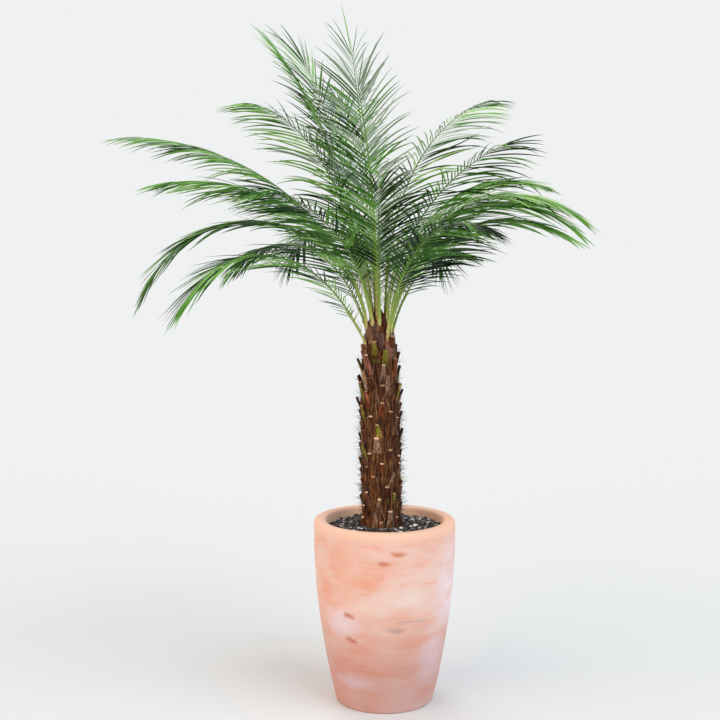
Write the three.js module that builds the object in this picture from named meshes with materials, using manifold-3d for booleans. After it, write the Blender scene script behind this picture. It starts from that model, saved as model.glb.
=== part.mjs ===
// A pygmy date palm in a tall terracotta pot.
// Millimetres, +Z up, +X to the palm's right, -Y to its front.
// The origin is the centre of the pot's flat underside.

import * as THREE from 'three';
import { mergeVertices } from 'three/addons/utils/BufferGeometryUtils.js';
import Module from 'manifold-3d';

const wasm = await Module();
wasm.setup();

// ---------------------------------------------------------------- driving dimensions

const CLEARANCE = 0.3; // gap between neighbouring pieces
const CUT_CLEARANCE = 0.35; // growth of a piece that is cut out of its neighbour

const POT = {
  height: 380,
  baseRadius: 102,
  bellyRadius: 150,
  bellyHeight: 365,
  lipInnerRadius: 124,
  throatRadius: 121,
  throatHeight: 340,
  wall: 16,
  floor: 18,
  floorRadius: 86,
  edge: 4,
  sides: 32,
};

const SOIL = { height: 352, crown: 354, seatRadius: 56 };

const TRUNK = {
  topRadius: 37,
  topHeight: 736,
  footX: -6, // the middle of the trunk at its foot and at its top
  topX: -11,
  sides: 20,
};

// Height above the trunk's foot and the radius there: a flare, then a long even stem.
const TRUNK_RADII = [[0, 46], [12, 43], [30, 41], [120, 42], [260, 41], [320, 40]];

const HEART = { height: 822, shoulderHeight: 786, shoulderRadius: 28, collarHeight: 808, collarRadius: 19 };

const LEAF = {
  petiole: 110, // bare stalk below the first leaflets
  tip: 85, // how far the last leaflets reach past the end of the rib
  halfWidth: 80, // half of the spread of the leaflets
  edge: 1.6, // thickness at the leaflet tips
  droop: 0.22, // fall of the leaflet tips for each unit of half width
  lean: 0.9, // below 1 the widest place lies past the middle
  fullness: 0.8, // below 1 the outline fills out quickly
  stalkHalfWidth: 4.4,
  stalkThickness: 6.4,
  stalkEdge: 0.7, // thickness at the stalk's edges as a share of that in its middle
  ribHalfWidth: 3,
  ribThickness: 3.2,
  splitTurn: 60, // a rib that turns through more than this, in degrees, is made in two pieces
  splitShare: 0.5, // the share of its turn that such a rib has done where it is split
  cells: { whole: 7, inner: 3, outer: 5 }, // steps of a blade along the rib
};

// Each frond: its name, the heading that it grows towards and the angle of its seat on the
// heart, both in degrees from +X towards +Y, the height and radius of its seat, the length of
// its rib, the slope of the rib in degrees at its foot and at its end, and how late it bends.
const FRONDS = [
  ['spear_back', 144.5, 80, 808, 3, 566, 84.5, 80.5, 1.26],
  ['spear_front', 246, 250, 802, 12, 495, 88, 64, 1.4],
  ['tall_left_back', 146, 150, 802, 13, 592, 81, 61.5, 1.16],
  ['tall_left', 181, 188, 800, 14, 574, 79.5, 55, 2],
  ['tall_back_left', 116, 116, 798, 15, 540, 84, 44, 1.6],
  ['fan_left', 208, 216, 790, 17, 548, 76, 11, 2.8],
  ['fan_right', 33, 40, 794, 16, 592, 89, 19, 1.5],
  ['mid_right', 319, 328, 788, 18, 492, 86, 19, 0.93],
  ['long_left', 188, 172, 774, 23, 668, 82, 4, 0.9],
  ['arch_left', 198, 204, 768, 25, 572, 86, -6, 0.92],
  ['low_left_back', 176, 158, 758, 28, 656, 88.5, -61, 1.04],
  ['low_left', 222, 214, 744, 30, 542, 58.5, -48, 1.44],
  ['arch_right_back', 9, 6, 778, 22, 489, 82, -10, 1.6],
  ['arch_right', 352, 350, 768, 24, 470, 82, -24, 1.2],
  ['mid_arch_right', 342, 338, 777, 21, 520, 84, -34, 1.3],
  ['long_right', 331, 326, 762, 26, 552, 83, -27, 1.3],
  ['low_right', 297, 304, 756, 28, 470, 80.5, -10, 0.95],
  ['low_right_back', 30, 28, 752, 28, 300, 80, 21, 1],
  ['front_left', 233, 236, 778, 21, 490, 80, 0, 0.9],
  ['front', 268, 270, 778, 21, 340, 84, 38, 1.1],
  ['back_left', 118, 122, 782, 20, 545, 74, -46, 1.15],
  ['back_right', 68, 66, 780, 21, 520, 74, -48, 1.15],
  ['low_back_right', 50, 48, 754, 28, 350, 79, -8, 1.1],
  ['low_back', 94, 94, 758, 27, 550, 76, -46, 1.1],
  ['low_back_left', 139, 138, 750, 29, 510, 76, -36, 1.1],
].map(([name, heading, seat, height, radius, length, rise, end, bend]) => (
  { name, heading, seat, height, radius, length, rise, end, bend }
));

// ---------------------------------------------------------------- materials

const finish = (color, roughness) => new THREE.MeshStandardMaterial({ color, roughness, metalness: 0 });

const TERRACOTTA = finish(0xdca287, 0.85);
const EARTH = finish(0x2b2725, 1);
const BARK = finish(0x4f3323, 0.95);
const FIBRE = finish(0x5b3320, 0.95);
const FOLIAGE = finish(0x3f7a35, 0.55);

// ---------------------------------------------------------------- shared shapes

const palm = new THREE.Group();

function addPiece(name, geometry, material) {
  const mesh = new THREE.Mesh(geometry, material.clone());
  mesh.name = name;
  palm.add(mesh);
}

// A body turned about the Z axis from a profile of [radius, height] pairs.
function turned(profile, sides) {
  const points = profile.map(([radius, height]) => new THREE.Vector2(radius, height));
  return new THREE.LatheGeometry(points, sides).rotateX(Math.PI / 2);
}

function weld(geometry) {
  const bare = geometry.clone();
  bare.deleteAttribute('normal');
  bare.deleteAttribute('uv');
  return mergeVertices(bare, 1e-4);
}

function toSolid(geometry) {
  const closed = weld(geometry);
  const vertProperties = new Float32Array(closed.attributes.position.array);
  const triVerts = new Uint32Array(closed.index.array);
  return new wasm.Manifold(new wasm.Mesh({ numProp: 3, vertProperties, triVerts }));
}

function toGeometry(solid) {
  const { vertProperties, triVerts } = solid.getMesh();
  const geometry = new THREE.BufferGeometry();
  geometry.setAttribute('position', new THREE.BufferAttribute(vertProperties, 3));
  geometry.setIndex(new THREE.BufferAttribute(triVerts, 1));
  geometry.computeVertexNormals();
  return geometry;
}

// ---------------------------------------------------------------- pot and soil

// The outside swells from the foot to the belly along a parabola.
function potOuterRadius(height) {
  const fall = 1 - Math.min(height / POT.bellyHeight, 1);
  return POT.bellyRadius - (POT.bellyRadius - POT.baseRadius) * fall * fall;
}

// The inside follows the outside at the wall's thickness, up to the straight throat.
function potInnerRadius(height) {
  return Math.min(POT.throatRadius, potOuterRadius(height) - POT.wall);
}

const OUTER_HEIGHTS = [50, 110, 180, 260, POT.bellyHeight];
const INNER_HEIGHTS = [200, 120, 60];

// The lip is half an ellipse from the belly over the rim to the inner edge.
function lipProfile() {
  const middle = (POT.bellyRadius + POT.lipInnerRadius) / 2;
  const halfWidth = (POT.bellyRadius - POT.lipInnerRadius) / 2;
  const rise = POT.height - POT.bellyHeight;
  return [45, 90, 135, 180].map((degrees) => {
    const angle = THREE.MathUtils.degToRad(degrees);
    return [middle + halfWidth * Math.cos(angle), POT.bellyHeight + rise * Math.sin(angle)];
  });
}

function pot() {
  return turned([
    [0, 0],
    [POT.baseRadius - POT.edge, 0],
    [potOuterRadius(POT.edge), POT.edge],
    ...OUTER_HEIGHTS.map((height) => [potOuterRadius(height), height]),
    ...lipProfile(),
    [POT.throatRadius, POT.throatHeight],
    ...INNER_HEIGHTS.map((height) => [potInnerRadius(height), height]),
    [POT.floorRadius, POT.floor],
    [0, POT.floor],
  ], POT.sides);
}

function soil() {
  const bottom = POT.floor + CLEARANCE;
  const slope = (POT.lipInnerRadius - POT.throatRadius) / (POT.bellyHeight - POT.throatHeight);
  const topRadius = POT.throatRadius + slope * (SOIL.height - POT.throatHeight);
  return turned([
    [0, bottom],
    [POT.floorRadius - CLEARANCE, bottom],
    ...INNER_HEIGHTS.toReversed().map((height) => [potInnerRadius(height) - 2 * CLEARANCE, height]),
    [POT.throatRadius - 2 * CLEARANCE, POT.throatHeight],
    [topRadius - 2 * CLEARANCE, SOIL.height],
    [SOIL.seatRadius, SOIL.crown],
    [0, SOIL.crown],
  ], POT.sides);
}

// ---------------------------------------------------------------- trunk and heart

const TRUNK_FOOT = SOIL.crown + CLEARANCE;

// The trunk leans a little to the left on its way up.
function trunkAxisX(height) {
  const climb = (height - TRUNK_FOOT) / (TRUNK.topHeight - TRUNK_FOOT);
  return THREE.MathUtils.lerp(TRUNK.footX, TRUNK.topX, Math.min(climb, 1));
}

function leaned(geometry) {
  const position = geometry.attributes.position;
  for (let i = 0; i < position.count; i += 1) {
    position.setX(i, position.getX(i) + trunkAxisX(position.getZ(i)));
  }
  return geometry;
}

function trunk() {
  return leaned(turned([
    [0, TRUNK_FOOT],
    ...TRUNK_RADII.map(([climb, radius]) => [radius, TRUNK_FOOT + climb]),
    [TRUNK.topRadius, TRUNK.topHeight],
    [0, TRUNK.topHeight],
  ], TRUNK.sides));
}

// The fibrous heart of the crown, a blunt cone that the leaf stalks grow out of.
function heart(growth) {
  return leaned(turned([
    [0, TRUNK.topHeight + CLEARANCE - growth],
    [TRUNK.topRadius + growth, TRUNK.topHeight + CLEARANCE - growth],
    [HEART.shoulderRadius + growth, HEART.shoulderHeight],
    [HEART.collarRadius + growth, HEART.collarHeight],
    [0, HEART.height + growth],
  ], TRUNK.sides));
}

// ---------------------------------------------------------------- fronds

const STEP = 5; // length of one step along a rib

// Walks along the rib, whose slope falls from rise to end as a power of the way along it.
// Each sample has the point and two directions: up from the blade's face, and across the
// blade to its left.
function walkRib(frond) {
  const heading = THREE.MathUtils.degToRad(frond.heading);
  const seat = THREE.MathUtils.degToRad(frond.seat);
  const level = new THREE.Vector3(Math.cos(heading), Math.sin(heading), 0);
  const point = new THREE.Vector3(
    trunkAxisX(frond.height) + frond.radius * Math.cos(seat),
    frond.radius * Math.sin(seat),
    frond.height,
  );
  const samples = [];
  for (let way = 0; way <= frond.length + LEAF.tip + STEP; way += STEP) {
    const share = Math.min(way / frond.length, 1);
    const slope = THREE.MathUtils.degToRad(frond.rise + (frond.end - frond.rise) * share ** frond.bend);
    const along = level.clone().multiplyScalar(Math.cos(slope)).setZ(Math.sin(slope));
    const up = level.clone().multiplyScalar(-Math.sin(slope)).setZ(Math.cos(slope));
    const across = new THREE.Vector3().crossVectors(up, along);
    samples.push({ point: point.clone(), up, across });
    point.addScaledVector(along, STEP);
  }
  return samples;
}

function sampleAt(samples, way) {
  const index = THREE.MathUtils.clamp(Math.floor(way / STEP), 0, samples.length - 2);
  const here = samples[index];
  const next = samples[index + 1];
  const share = way / STEP - index;
  return {
    point: here.point.clone().lerp(next.point, share),
    up: here.up.clone().lerp(next.up, share).normalize(),
    across: here.across,
  };
}

// Half of the blade's width: a narrow stalk, then the outline of the leaflets as a sine arch
// that swells quickly, runs on past the end of the rib and closes to a point.
function bladeHalfWidth(frond, way) {
  const share = (way - LEAF.petiole) / (frond.length + LEAF.tip - LEAF.petiole);
  if (share <= 0) return LEAF.stalkHalfWidth;
  const arch = Math.sin(Math.PI * Math.min(share, 1) ** LEAF.lean) ** LEAF.fullness;
  return Math.max(LEAF.halfWidth * arch, LEAF.ribHalfWidth);
}

function ribHalfWidth(frond, way) {
  return THREE.MathUtils.lerp(LEAF.stalkHalfWidth, LEAF.ribHalfWidth, Math.min(way / frond.length, 1));
}

function ribThickness(frond, way) {
  return THREE.MathUtils.lerp(LEAF.stalkThickness, LEAF.ribThickness, Math.min(way / frond.length, 1));
}

// A strip laid along the rib: a box, one or two cells wide and with a row of corners at each
// station, bent onto the curve, thick at the rib and thin at both edges. growth makes it
// larger on every side.
function strip(frond, samples, stations, halfWidthAt, cellsAcross, growth) {
  const last = stations.length - 1;
  const box = new THREE.BoxGeometry(2, 2, 1, cellsAcross, 1, last);
  const position = box.attributes.position;
  for (let i = 0; i < position.count; i += 1) {
    const side = position.getX(i);
    const face = position.getY(i);
    const station = Math.round((position.getZ(i) + 0.5) * last);
    const overrun = { 0: -growth, [last]: growth }[station] ?? 0;
    const way = stations[station] + overrun;
    const { point, up, across } = sampleAt(samples, way);
    const halfWidth = halfWidthAt(frond, stations[station]);
    const stalk = way <= LEAF.petiole || halfWidth <= LEAF.stalkHalfWidth;
    const middle = ribThickness(frond, way);
    const edge = stalk ? middle * LEAF.stalkEdge : LEAF.edge;
    const thickness = (side === 0 || cellsAcross === 1 ? middle : edge) / 2 + growth;
    const fall = stalk ? 0 : LEAF.droop * halfWidth * Math.abs(side);
    point.addScaledVector(across, side * (halfWidth + growth));
    point.addScaledVector(up, face * thickness - fall);
    position.setXYZ(i, point.x, point.y, point.z);
  }
  return toSolid(box);
}

function evenly(from, to, cells) {
  return Array.from({ length: cells + 1 }, (_, index) => from + ((to - from) * index) / cells);
}

// A frond that bends over far is made in two pieces, which meet at the bend.
function frondPieces(frond) {
  const samples = walkRib(frond);
  const tip = frond.length + LEAF.tip;
  const bend = frond.length * LEAF.splitShare ** (1 / frond.bend);
  const whole = [{ suffix: '', stations: [0, ...evenly(LEAF.petiole, tip, LEAF.cells.whole)] }];
  const halves = [
    { suffix: '_inner', stations: [0, ...evenly(LEAF.petiole, bend - CLEARANCE / 2, LEAF.cells.inner)] },
    { suffix: '_outer', stations: evenly(bend + CLEARANCE / 2, tip, LEAF.cells.outer) },
  ];
  const pieces = frond.rise - frond.end > LEAF.splitTurn ? halves : whole;
  return pieces.map(({ suffix, stations }) => ({
    name: `frond_${frond.name}${suffix}`,
    frond,
    blade: strip(frond, samples, stations, bladeHalfWidth, 2, 0),
    grownBlade: strip(frond, samples, stations, bladeHalfWidth, 2, CUT_CLEARANCE),
    rib: strip(frond, samples, stations, ribHalfWidth, 1, 0),
    grownRib: strip(frond, samples, stations, ribHalfWidth, 1, CUT_CLEARANCE),
  }));
}

function largestPart(solid) {
  const parts = solid.decompose();
  return parts.reduce((best, part) => (part.volume() > best.volume() ? part : best));
}

// Where two blades cross, every rib stays whole, and the later blade gives way to the earlier.
function trimmed(piece, index, all, grownHeart) {
  let solid = piece.blade.subtract(grownHeart);
  all.forEach((other, otherIndex) => {
    if (other.frond === piece.frond) return;
    solid = solid.subtract(other.grownRib);
    if (otherIndex < index) solid = solid.subtract(other.grownBlade.subtract(piece.rib));
  });
  return largestPart(solid);
}

// ---------------------------------------------------------------- the palm

addPiece('pot', pot(), TERRACOTTA);
addPiece('soil', soil(), EARTH);
addPiece('trunk', trunk(), BARK);
addPiece('crown_heart', heart(0), FIBRE);

const grownHeart = toSolid(heart(CUT_CLEARANCE));
const pieces = FRONDS.flatMap(frondPieces);
pieces.forEach((piece, index) => {
  addPiece(piece.name, toGeometry(trimmed(piece, index, pieces, grownHeart)), FOLIAGE);
});

export default palm;
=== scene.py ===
"""A pygmy date palm in a tall terracotta pot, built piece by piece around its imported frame.

Lengths are in metres and angles in degrees. +Z is up, +X is to the palm's right and -Y to its
front. The origin is the centre of the pot's flat underside.
"""

import math
from collections import namedtuple

import bpy
import numpy as np
from bpy.props import FloatProperty, FloatVectorProperty, IntProperty, PointerProperty
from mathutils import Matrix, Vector


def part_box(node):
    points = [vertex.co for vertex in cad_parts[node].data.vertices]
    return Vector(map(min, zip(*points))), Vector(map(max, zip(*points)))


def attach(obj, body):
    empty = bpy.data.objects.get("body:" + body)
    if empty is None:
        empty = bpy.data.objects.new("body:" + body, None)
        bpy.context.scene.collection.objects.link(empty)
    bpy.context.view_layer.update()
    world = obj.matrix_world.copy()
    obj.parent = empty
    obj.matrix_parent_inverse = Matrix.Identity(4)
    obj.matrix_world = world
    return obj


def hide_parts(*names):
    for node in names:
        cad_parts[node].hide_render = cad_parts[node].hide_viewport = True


bl_info = {
    "name": "Potted pygmy date palm",
    "version": (1, 0, 0),
    "blender": (4, 5, 0),
    "location": "View3D > Sidebar > Palm",
    "description": "Builds a pygmy date palm in a terracotta pot, piece by piece",
    "category": "Add Mesh",
}

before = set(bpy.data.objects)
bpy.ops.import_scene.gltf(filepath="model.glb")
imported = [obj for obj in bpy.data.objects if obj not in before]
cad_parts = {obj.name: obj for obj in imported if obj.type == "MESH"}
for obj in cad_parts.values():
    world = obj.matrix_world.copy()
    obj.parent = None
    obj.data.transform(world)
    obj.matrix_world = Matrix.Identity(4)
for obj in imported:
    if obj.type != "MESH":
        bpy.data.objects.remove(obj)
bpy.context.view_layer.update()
POT_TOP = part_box("pot")[1]
SOIL_BOTTOM, SOIL_TOP = (corner.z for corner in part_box("soil"))
TRUNK_FOOT, TRUNK_TOP = (corner.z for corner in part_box("trunk"))
HEART_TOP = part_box("crown_heart")[1].z
FROND_NODES = sorted(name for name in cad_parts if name.startswith("frond_"))

MM = 0.001
SEED = 20
TURN = 2 * math.pi
GOLDEN_ANGLE = math.pi * (3 - math.sqrt(5))
DOWN = np.array([0.0, 0.0, -1.0])
SHARP_ANGLE = 50

# ---- the frame's own dimensions

# The outside of the pot swells from its foot to its belly, and the inside follows it up to a
# straight throat.
POT_BASE_RADIUS = 0.102
POT_BELLY_HEIGHT = 0.365
POT_LIP_INNER_RADIUS = 0.124
POT_THROAT_RADIUS = 0.121
POT_THROAT_HEIGHT = 0.340
POT_WALL = 0.016
POT_FLOOR_RADIUS = 0.086
POT_FLOOR = 0.018
POT_EDGE = 0.004
# The heights between which the outside and the inside are sampled, the radius and the height of
# the shoulder below the lip, and the radius of the rings next to the poles.
POT_OUTSIDE_SPAN = (0.008, 0.362)
POT_INSIDE_SPAN = (0.030, 0.336)
POT_SHOULDER = (0.1226, 0.353)
POT_INNER_RING = 0.04
CLEARANCE = 0.0003

# Height and radius of the trunk and, above it, of the fibrous heart of the crown.
TRUNK_RADII = [
    (TRUNK_FOOT, 0.046),
    (TRUNK_FOOT + 0.012, 0.043),
    (TRUNK_FOOT + 0.030, 0.041),
    (TRUNK_FOOT + 0.120, 0.042),
    (TRUNK_FOOT + 0.260, 0.041),
    (TRUNK_FOOT + 0.320, 0.0395),
    (TRUNK_TOP, 0.035),
    (0.764, 0.029),
    (0.786, 0.0245),
    (0.808, 0.017),
    (HEART_TOP, 0.004),
]
TRUNK_FOOT_X = -0.006
TRUNK_TOP_X = -0.011
TRUNK_USUAL_RADIUS = 0.041

# Each frond: its name, the heading that it grows towards and the angle of its seat on the
# heart, from +X towards +Y, the height and radius of its seat and the length of its rib in
# millimetres, the slope of the rib at its foot and at its end, how late it bends, and its
# tint, from 0 for deep shade to 4 for full light, with 5 for the silvery young spears.
Frond = namedtuple("Frond", "name heading seat height radius length rise end bend tint")
FROND_ROWS = [
    ("spear_back", 144.5, 80, 808, 3, 566, 84.5, 80.5, 1.26, 5),
    ("spear_front", 246, 250, 802, 12, 495, 88, 64, 1.4, 5),
    ("tall_left_back", 146, 150, 802, 13, 592, 81, 61.5, 1.16, 3),
    ("tall_left", 181, 188, 800, 14, 574, 79.5, 55, 2, 3),
    ("tall_back_left", 116, 116, 798, 15, 540, 84, 44, 1.6, 2),
    ("fan_left", 208, 216, 790, 17, 548, 76, 11, 2.8, 3),
    ("fan_right", 33, 40, 794, 16, 592, 89, 19, 1.5, 3),
    ("mid_right", 319, 328, 788, 18, 492, 86, 19, 0.93, 3),
    ("long_left", 188, 172, 774, 23, 668, 82, 4, 0.9, 3),
    ("arch_left", 198, 204, 768, 25, 572, 86, -6, 0.92, 3),
    ("low_left_back", 176, 158, 758, 28, 656, 88.5, -61, 1.04, 2),
    ("low_left", 222, 214, 744, 30, 542, 58.5, -48, 1.44, 3),
    ("arch_right_back", 9, 6, 778, 22, 489, 82, -10, 1.6, 3),
    ("arch_right", 352, 350, 768, 24, 470, 82, -24, 1.2, 4),
    ("mid_arch_right", 342, 338, 777, 21, 520, 84, -34, 1.3, 4),
    ("long_right", 331, 326, 762, 26, 552, 83, -27, 1.3, 4),
    ("low_right", 297, 304, 756, 28, 470, 80.5, -10, 0.95, 1),
    ("low_right_back", 30, 28, 752, 28, 300, 80, 21, 1, 1),
    ("front_left", 233, 236, 778, 21, 490, 80, 0, 0.9, 2),
    ("front", 268, 270, 778, 21, 340, 84, 38, 1.1, 2),
    ("back_left", 118, 122, 782, 20, 545, 74, -46, 1.15, 1),
    ("back_right", 68, 66, 780, 21, 520, 74, -48, 1.15, 1),
    ("low_back_right", 50, 48, 754, 28, 350, 79, -8, 1.1, 1),
    ("low_back", 94, 94, 758, 27, 550, 76, -46, 1.1, 1),
    ("low_back_left", 139, 138, 750, 29, 510, 76, -36, 1.1, 1),
]
FRONDS = [Frond(*row) for row in FROND_ROWS]
SILVERY = 5

# ---- settings

# The kinds of number and colour that the settings are made of.


def length_setting(name, description, default):
    return FloatProperty(name=name, description=description, default=default, unit="LENGTH")


def colour_setting(name, description, default):
    return FloatVectorProperty(
        name=name, description=description, default=default, subtype="COLOR", min=0, max=1
    )


def strength_setting(name, description, default):
    return FloatProperty(name=name, description=description, default=default, min=0)


def count_setting(name, description, default):
    return IntProperty(name=name, description=description, default=default)


class PalmPotSettings(bpy.types.PropertyGroup):
    clay: colour_setting("Clay", "Colour of the fired clay", (0.775, 0.435, 0.34))
    # Besides warm patches of clay, this colour paints warm light on the pot's left side.
    warm: colour_setting("Warm clay", "Colour of the bare clay in soft patches", (0.76, 0.32, 0.20))
    chalk: colour_setting("Chalk", "Colour of the pale bloom on the clay", (0.79, 0.60, 0.535))
    # Besides the lilac bloom, this colour paints cool light on the pot's right side.
    lilac: colour_setting("Lilac", "Colour of the cool bloom on the clay", (0.82, 0.69, 0.75))
    rust: colour_setting("Rust", "Colour of the small dark firing marks", (0.50, 0.13, 0.045))
    # Painted shade: this colour darkens the pot towards its foot.
    painted_foot_shade: colour_setting("Dusk", "Colour of the shaded foot", (0.41, 0.20, 0.19))
    # Painted light: the inner wall takes this colour, bare clay made lighter to stand for light
    # falling into the pot.
    bare: colour_setting("Bare clay", "Colour of the clay inside the rim", (0.98, 0.65, 0.44))
    # The rim's colour: clay worn bare of bloom, lightened further as a painted highlight on the lit
    # lip.
    rim_wear_and_painted_highlight: colour_setting("Rubbed clay", "Colour of the rim", (0.88, 0.54, 0.38))
    soot: colour_setting("Soot", "Colour of the grey firing marks", (0.40, 0.30, 0.31))


class PalmSoilSettings(bpy.types.PropertyGroup):
    chips: count_setting("Chips", "Number of bark chips on the soil", 760)
    grit: count_setting("Grit", "Number of pale grains on the soil", 150)
    chip_length: length_setting("Chip length", "Usual length of a bark chip", 0.009)


class PalmTrunkSettings(bpy.types.PropertyGroup):
    stubs: count_setting("Stubs", "Number of cut stalk stubs", 108)
    strands: count_setting("Strands", "Number of loose bark fibres", 1500)
    hairs: count_setting("Hairs", "Number of stiff hairs on the trunk", 2600)
    hair_length: length_setting("Hair length", "Usual length of a hair", 0.012)
    relief: length_setting("Relief", "Depth of the bark's relief", 0.0024)


class PalmCrownSettings(bpy.types.PropertyGroup):
    petiole: length_setting("Stalk", "Bare stalk below the first leaflets", 0.098)
    spacing: length_setting("Spacing", "Distance between leaflets on one side", 0.0095)
    leaflet_length: length_setting("Leaflet length", "Length of the longest leaflets", 0.150)
    leaflet_width: length_setting("Leaflet width", "Width of the longest leaflets", 0.0036)
    droop: FloatProperty(name="Droop", description="Pull of gravity on the leaflets", default=1.0)


class PalmStageSettings(bpy.types.PropertyGroup):
    camera_x: length_setting("Camera X", "Sideways place of the camera", -0.052)
    camera_distance: length_setting("Camera distance", "Camera's distance in front", 2.529)
    camera_height: length_setting("Camera height", "Camera's height above the floor", 0.947)
    camera_pitch: FloatProperty(
        name="Camera pitch", description="Downward tilt of the camera", default=math.radians(0.715),
        subtype="ANGLE",
    )
    camera_shift: FloatProperty(
        name="Camera shift", description="Vertical lens shift, in frame widths", default=-0.13
    )
    lens: FloatProperty(name="Lens", description="Focal length in millimetres", default=59.56)
    sky: strength_setting("Sky", "Strength of the light from all round", 0.64)
    key: strength_setting("Key light", "Strength of the cool main light", 1.88)
    warm_fill: strength_setting("Warm fill", "Strength of the warm light from the left", 1.48)
    back: strength_setting("Back light", "Strength of the light from behind", 0.80)
    floor: colour_setting("Floor", "Colour of the floor", (0.68, 0.68, 0.685))
    backdrop: colour_setting("Backdrop", "Colour seen behind the palm", (0.8705, 0.8815, 0.8855))


# ---- shapes as whole arrays


def unit(vectors):
    """Each vector divided by its own length."""
    return vectors / np.maximum(np.linalg.norm(vectors, axis=-1, keepdims=True), 1e-12)


def carried(section, centres, across, depth, half_width, half_depth):
    """A section carried along many paths at once.

    Point = centre + a * half width * across + b * half depth * depth, for each corner (a, b) of
    the section. Centres, across and depth have the shape (paths, stations, 3), where one
    direction may stand for all the stations of a path.
    """
    a = (section[:, 0] * half_width[..., None])[..., None]
    b = (section[:, 1] * half_depth[..., None])[..., None]
    return centres[:, :, None] + a * across[:, :, None] + b * depth[:, :, None]


def tube_faces(count, stations, corners):
    """Faces of closed tubes: a quad between neighbouring corners of neighbouring stations, then
    a cap at each end."""
    index = np.arange(count * stations * corners).reshape(count, stations, corners)
    turned = np.roll(index, -1, axis=2)
    walls = np.stack([index[:, :-1], turned[:, :-1], turned[:, 1:], index[:, 1:]], axis=-1)
    return [walls.reshape(-1, 4), index[:, 0, ::-1], index[:, -1]]


def turned_faces(rows, columns):
    """Faces of a closed body of revolution: quads between the rows, which close round their
    columns, and a fan of triangles to the first and the last point, which are its poles."""
    index = 1 + np.arange(rows * columns).reshape(rows, columns)
    after = np.roll(index, -1, axis=1)
    walls = np.stack([index[:-1], after[:-1], after[1:], index[1:]], axis=-1).reshape(-1, 4)
    first = np.stack([np.zeros(columns, int), after[0], index[0]], axis=-1)
    last = np.stack([np.full(columns, 1 + rows * columns), index[-1], after[-1]], axis=-1)
    return [walls, first, last]


def ring_angles(columns):
    """Even angles once round."""
    return np.arange(columns) / columns * TURN


def turned(angle, radius, height, middle=0.0):
    """Points from an angle, a radius and a height about an upright line at X = middle."""
    across, along = middle + radius * np.cos(angle), radius * np.sin(angle)
    return np.stack(np.broadcast_arrays(across, along, height), axis=-1)


def wrapped_noise(rng, rows, columns, cells_up, cells_round):
    """Smooth noise from -1 to 1 on a grid that closes round its columns.

    Random values on a coarse lattice, blended between neighbours with the ease 3t^2 - 2t^3.
    """
    lattice = rng.uniform(-1, 1, (cells_up + 2, cells_round))
    up = np.linspace(0, cells_up, rows)
    around = np.arange(columns) / columns * cells_round
    row, column = up.astype(int), around.astype(int)
    rise, run = up - row, around - column
    rise = (rise * rise * (3 - 2 * rise))[:, None]
    run = run * run * (3 - 2 * run)
    beside = (column + 1) % cells_round
    below = lattice[row][:, column] * (1 - run) + lattice[row][:, beside] * run
    above = lattice[row + 1][:, column] * (1 - run) + lattice[row + 1][:, beside] * run
    return below * (1 - rise) + above * rise


def ridged_noise(rng, rows, columns, cells_up, cells_round):
    """Smooth noise sharpened into ridges: 1 - 2 * |noise|."""
    return 1 - 2 * np.abs(wrapped_noise(rng, rows, columns, cells_up, cells_round))


def trunk_radius(height):
    """The trunk's and the heart's radius at a height, in straight steps between the knots."""
    heights, radii = zip(*TRUNK_RADII)
    return np.interp(height, heights, radii)


def trunk_place(angle, radius, height):
    """Points from an angle, a radius and a height about the trunk's leaning middle line."""
    middle = np.interp(height, [TRUNK_FOOT, TRUNK_TOP], [TRUNK_FOOT_X, TRUNK_TOP_X])
    return turned(angle, radius, height, middle)


def new_piece(name, points, faces, materials, kinds=None, smooth=False, replaces=()):
    """Makes one mesh object that rides on the palm's only body.

    faces is a list of arrays with a face in each row. kinds gives each array's material, as one
    number or as one number for each face.
    """
    points = np.asarray(points, np.float32).reshape(-1, 3)
    sizes = np.concatenate([np.full(len(block), block.shape[1]) for block in faces])
    mesh = bpy.data.meshes.new(name)
    mesh.vertices.add(len(points))
    mesh.vertices.foreach_set("co", points.ravel())
    mesh.loops.add(int(sizes.sum()))
    corners = np.concatenate([block.ravel() for block in faces])
    mesh.loops.foreach_set("vertex_index", corners.astype(np.int32))
    mesh.polygons.add(len(sizes))
    mesh.polygons.foreach_set("loop_start", (np.cumsum(sizes) - sizes).astype(np.int32))
    for material in materials:
        mesh.materials.append(material)
    if kinds is not None:
        spread = [np.broadcast_to(kind, len(block)) for kind, block in zip(kinds, faces)]
        mesh.polygons.foreach_set("material_index", np.concatenate(spread).astype(np.int32))
    mesh.polygons.foreach_set("use_smooth", np.full(len(sizes), smooth))
    mesh.update(calc_edges=True)
    mesh.validate()
    if smooth:
        mesh.set_sharp_from_angle(angle=math.radians(SHARP_ANGLE))
    piece = bpy.data.objects.new(name, mesh)
    bpy.context.scene.collection.objects.link(piece)
    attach(piece, "root")
    if replaces:
        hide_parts(*replaces)


def new_turned_piece(name, rings, low, high, material, slot, node):
    """A smooth closed body of revolution in place of a CAD node: its first pole, its rings, of
    the shape (rows, columns, 3), and its last pole."""
    points = np.concatenate([[low], rings.reshape(-1, 3), [high]])
    faces = turned_faces(*rings.shape[:2])
    new_piece(name, points, faces, [material], smooth=True, replaces=[node])


def new_tubes(name, points, material):
    """A piece of closed tubes, from points of the shape (tubes, stations, corners, 3)."""
    new_piece(name, points, tube_faces(*points.shape[:3]), [material])


# ---- shader nodes


def feed(tree, socket, value):
    """Links an output to a socket, or sets the socket to a plain value."""
    if isinstance(value, bpy.types.NodeSocket):
        tree.links.new(value, socket)
    else:
        socket.default_value = value


def opaque(colour):
    """A plain colour with its alpha added, or a colour that comes from a node as it is."""
    return colour if isinstance(colour, bpy.types.NodeSocket) else (*colour, 1.0)


def add_node(tree, kind, inputs, **settings):
    """A node of one kind, with its settings first and then its inputs."""
    node = tree.nodes.new(kind)
    for name, value in settings.items():
        setattr(node, name, value)
    for socket, value in inputs.items():
        feed(tree, node.inputs[socket], value)
    return node


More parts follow.
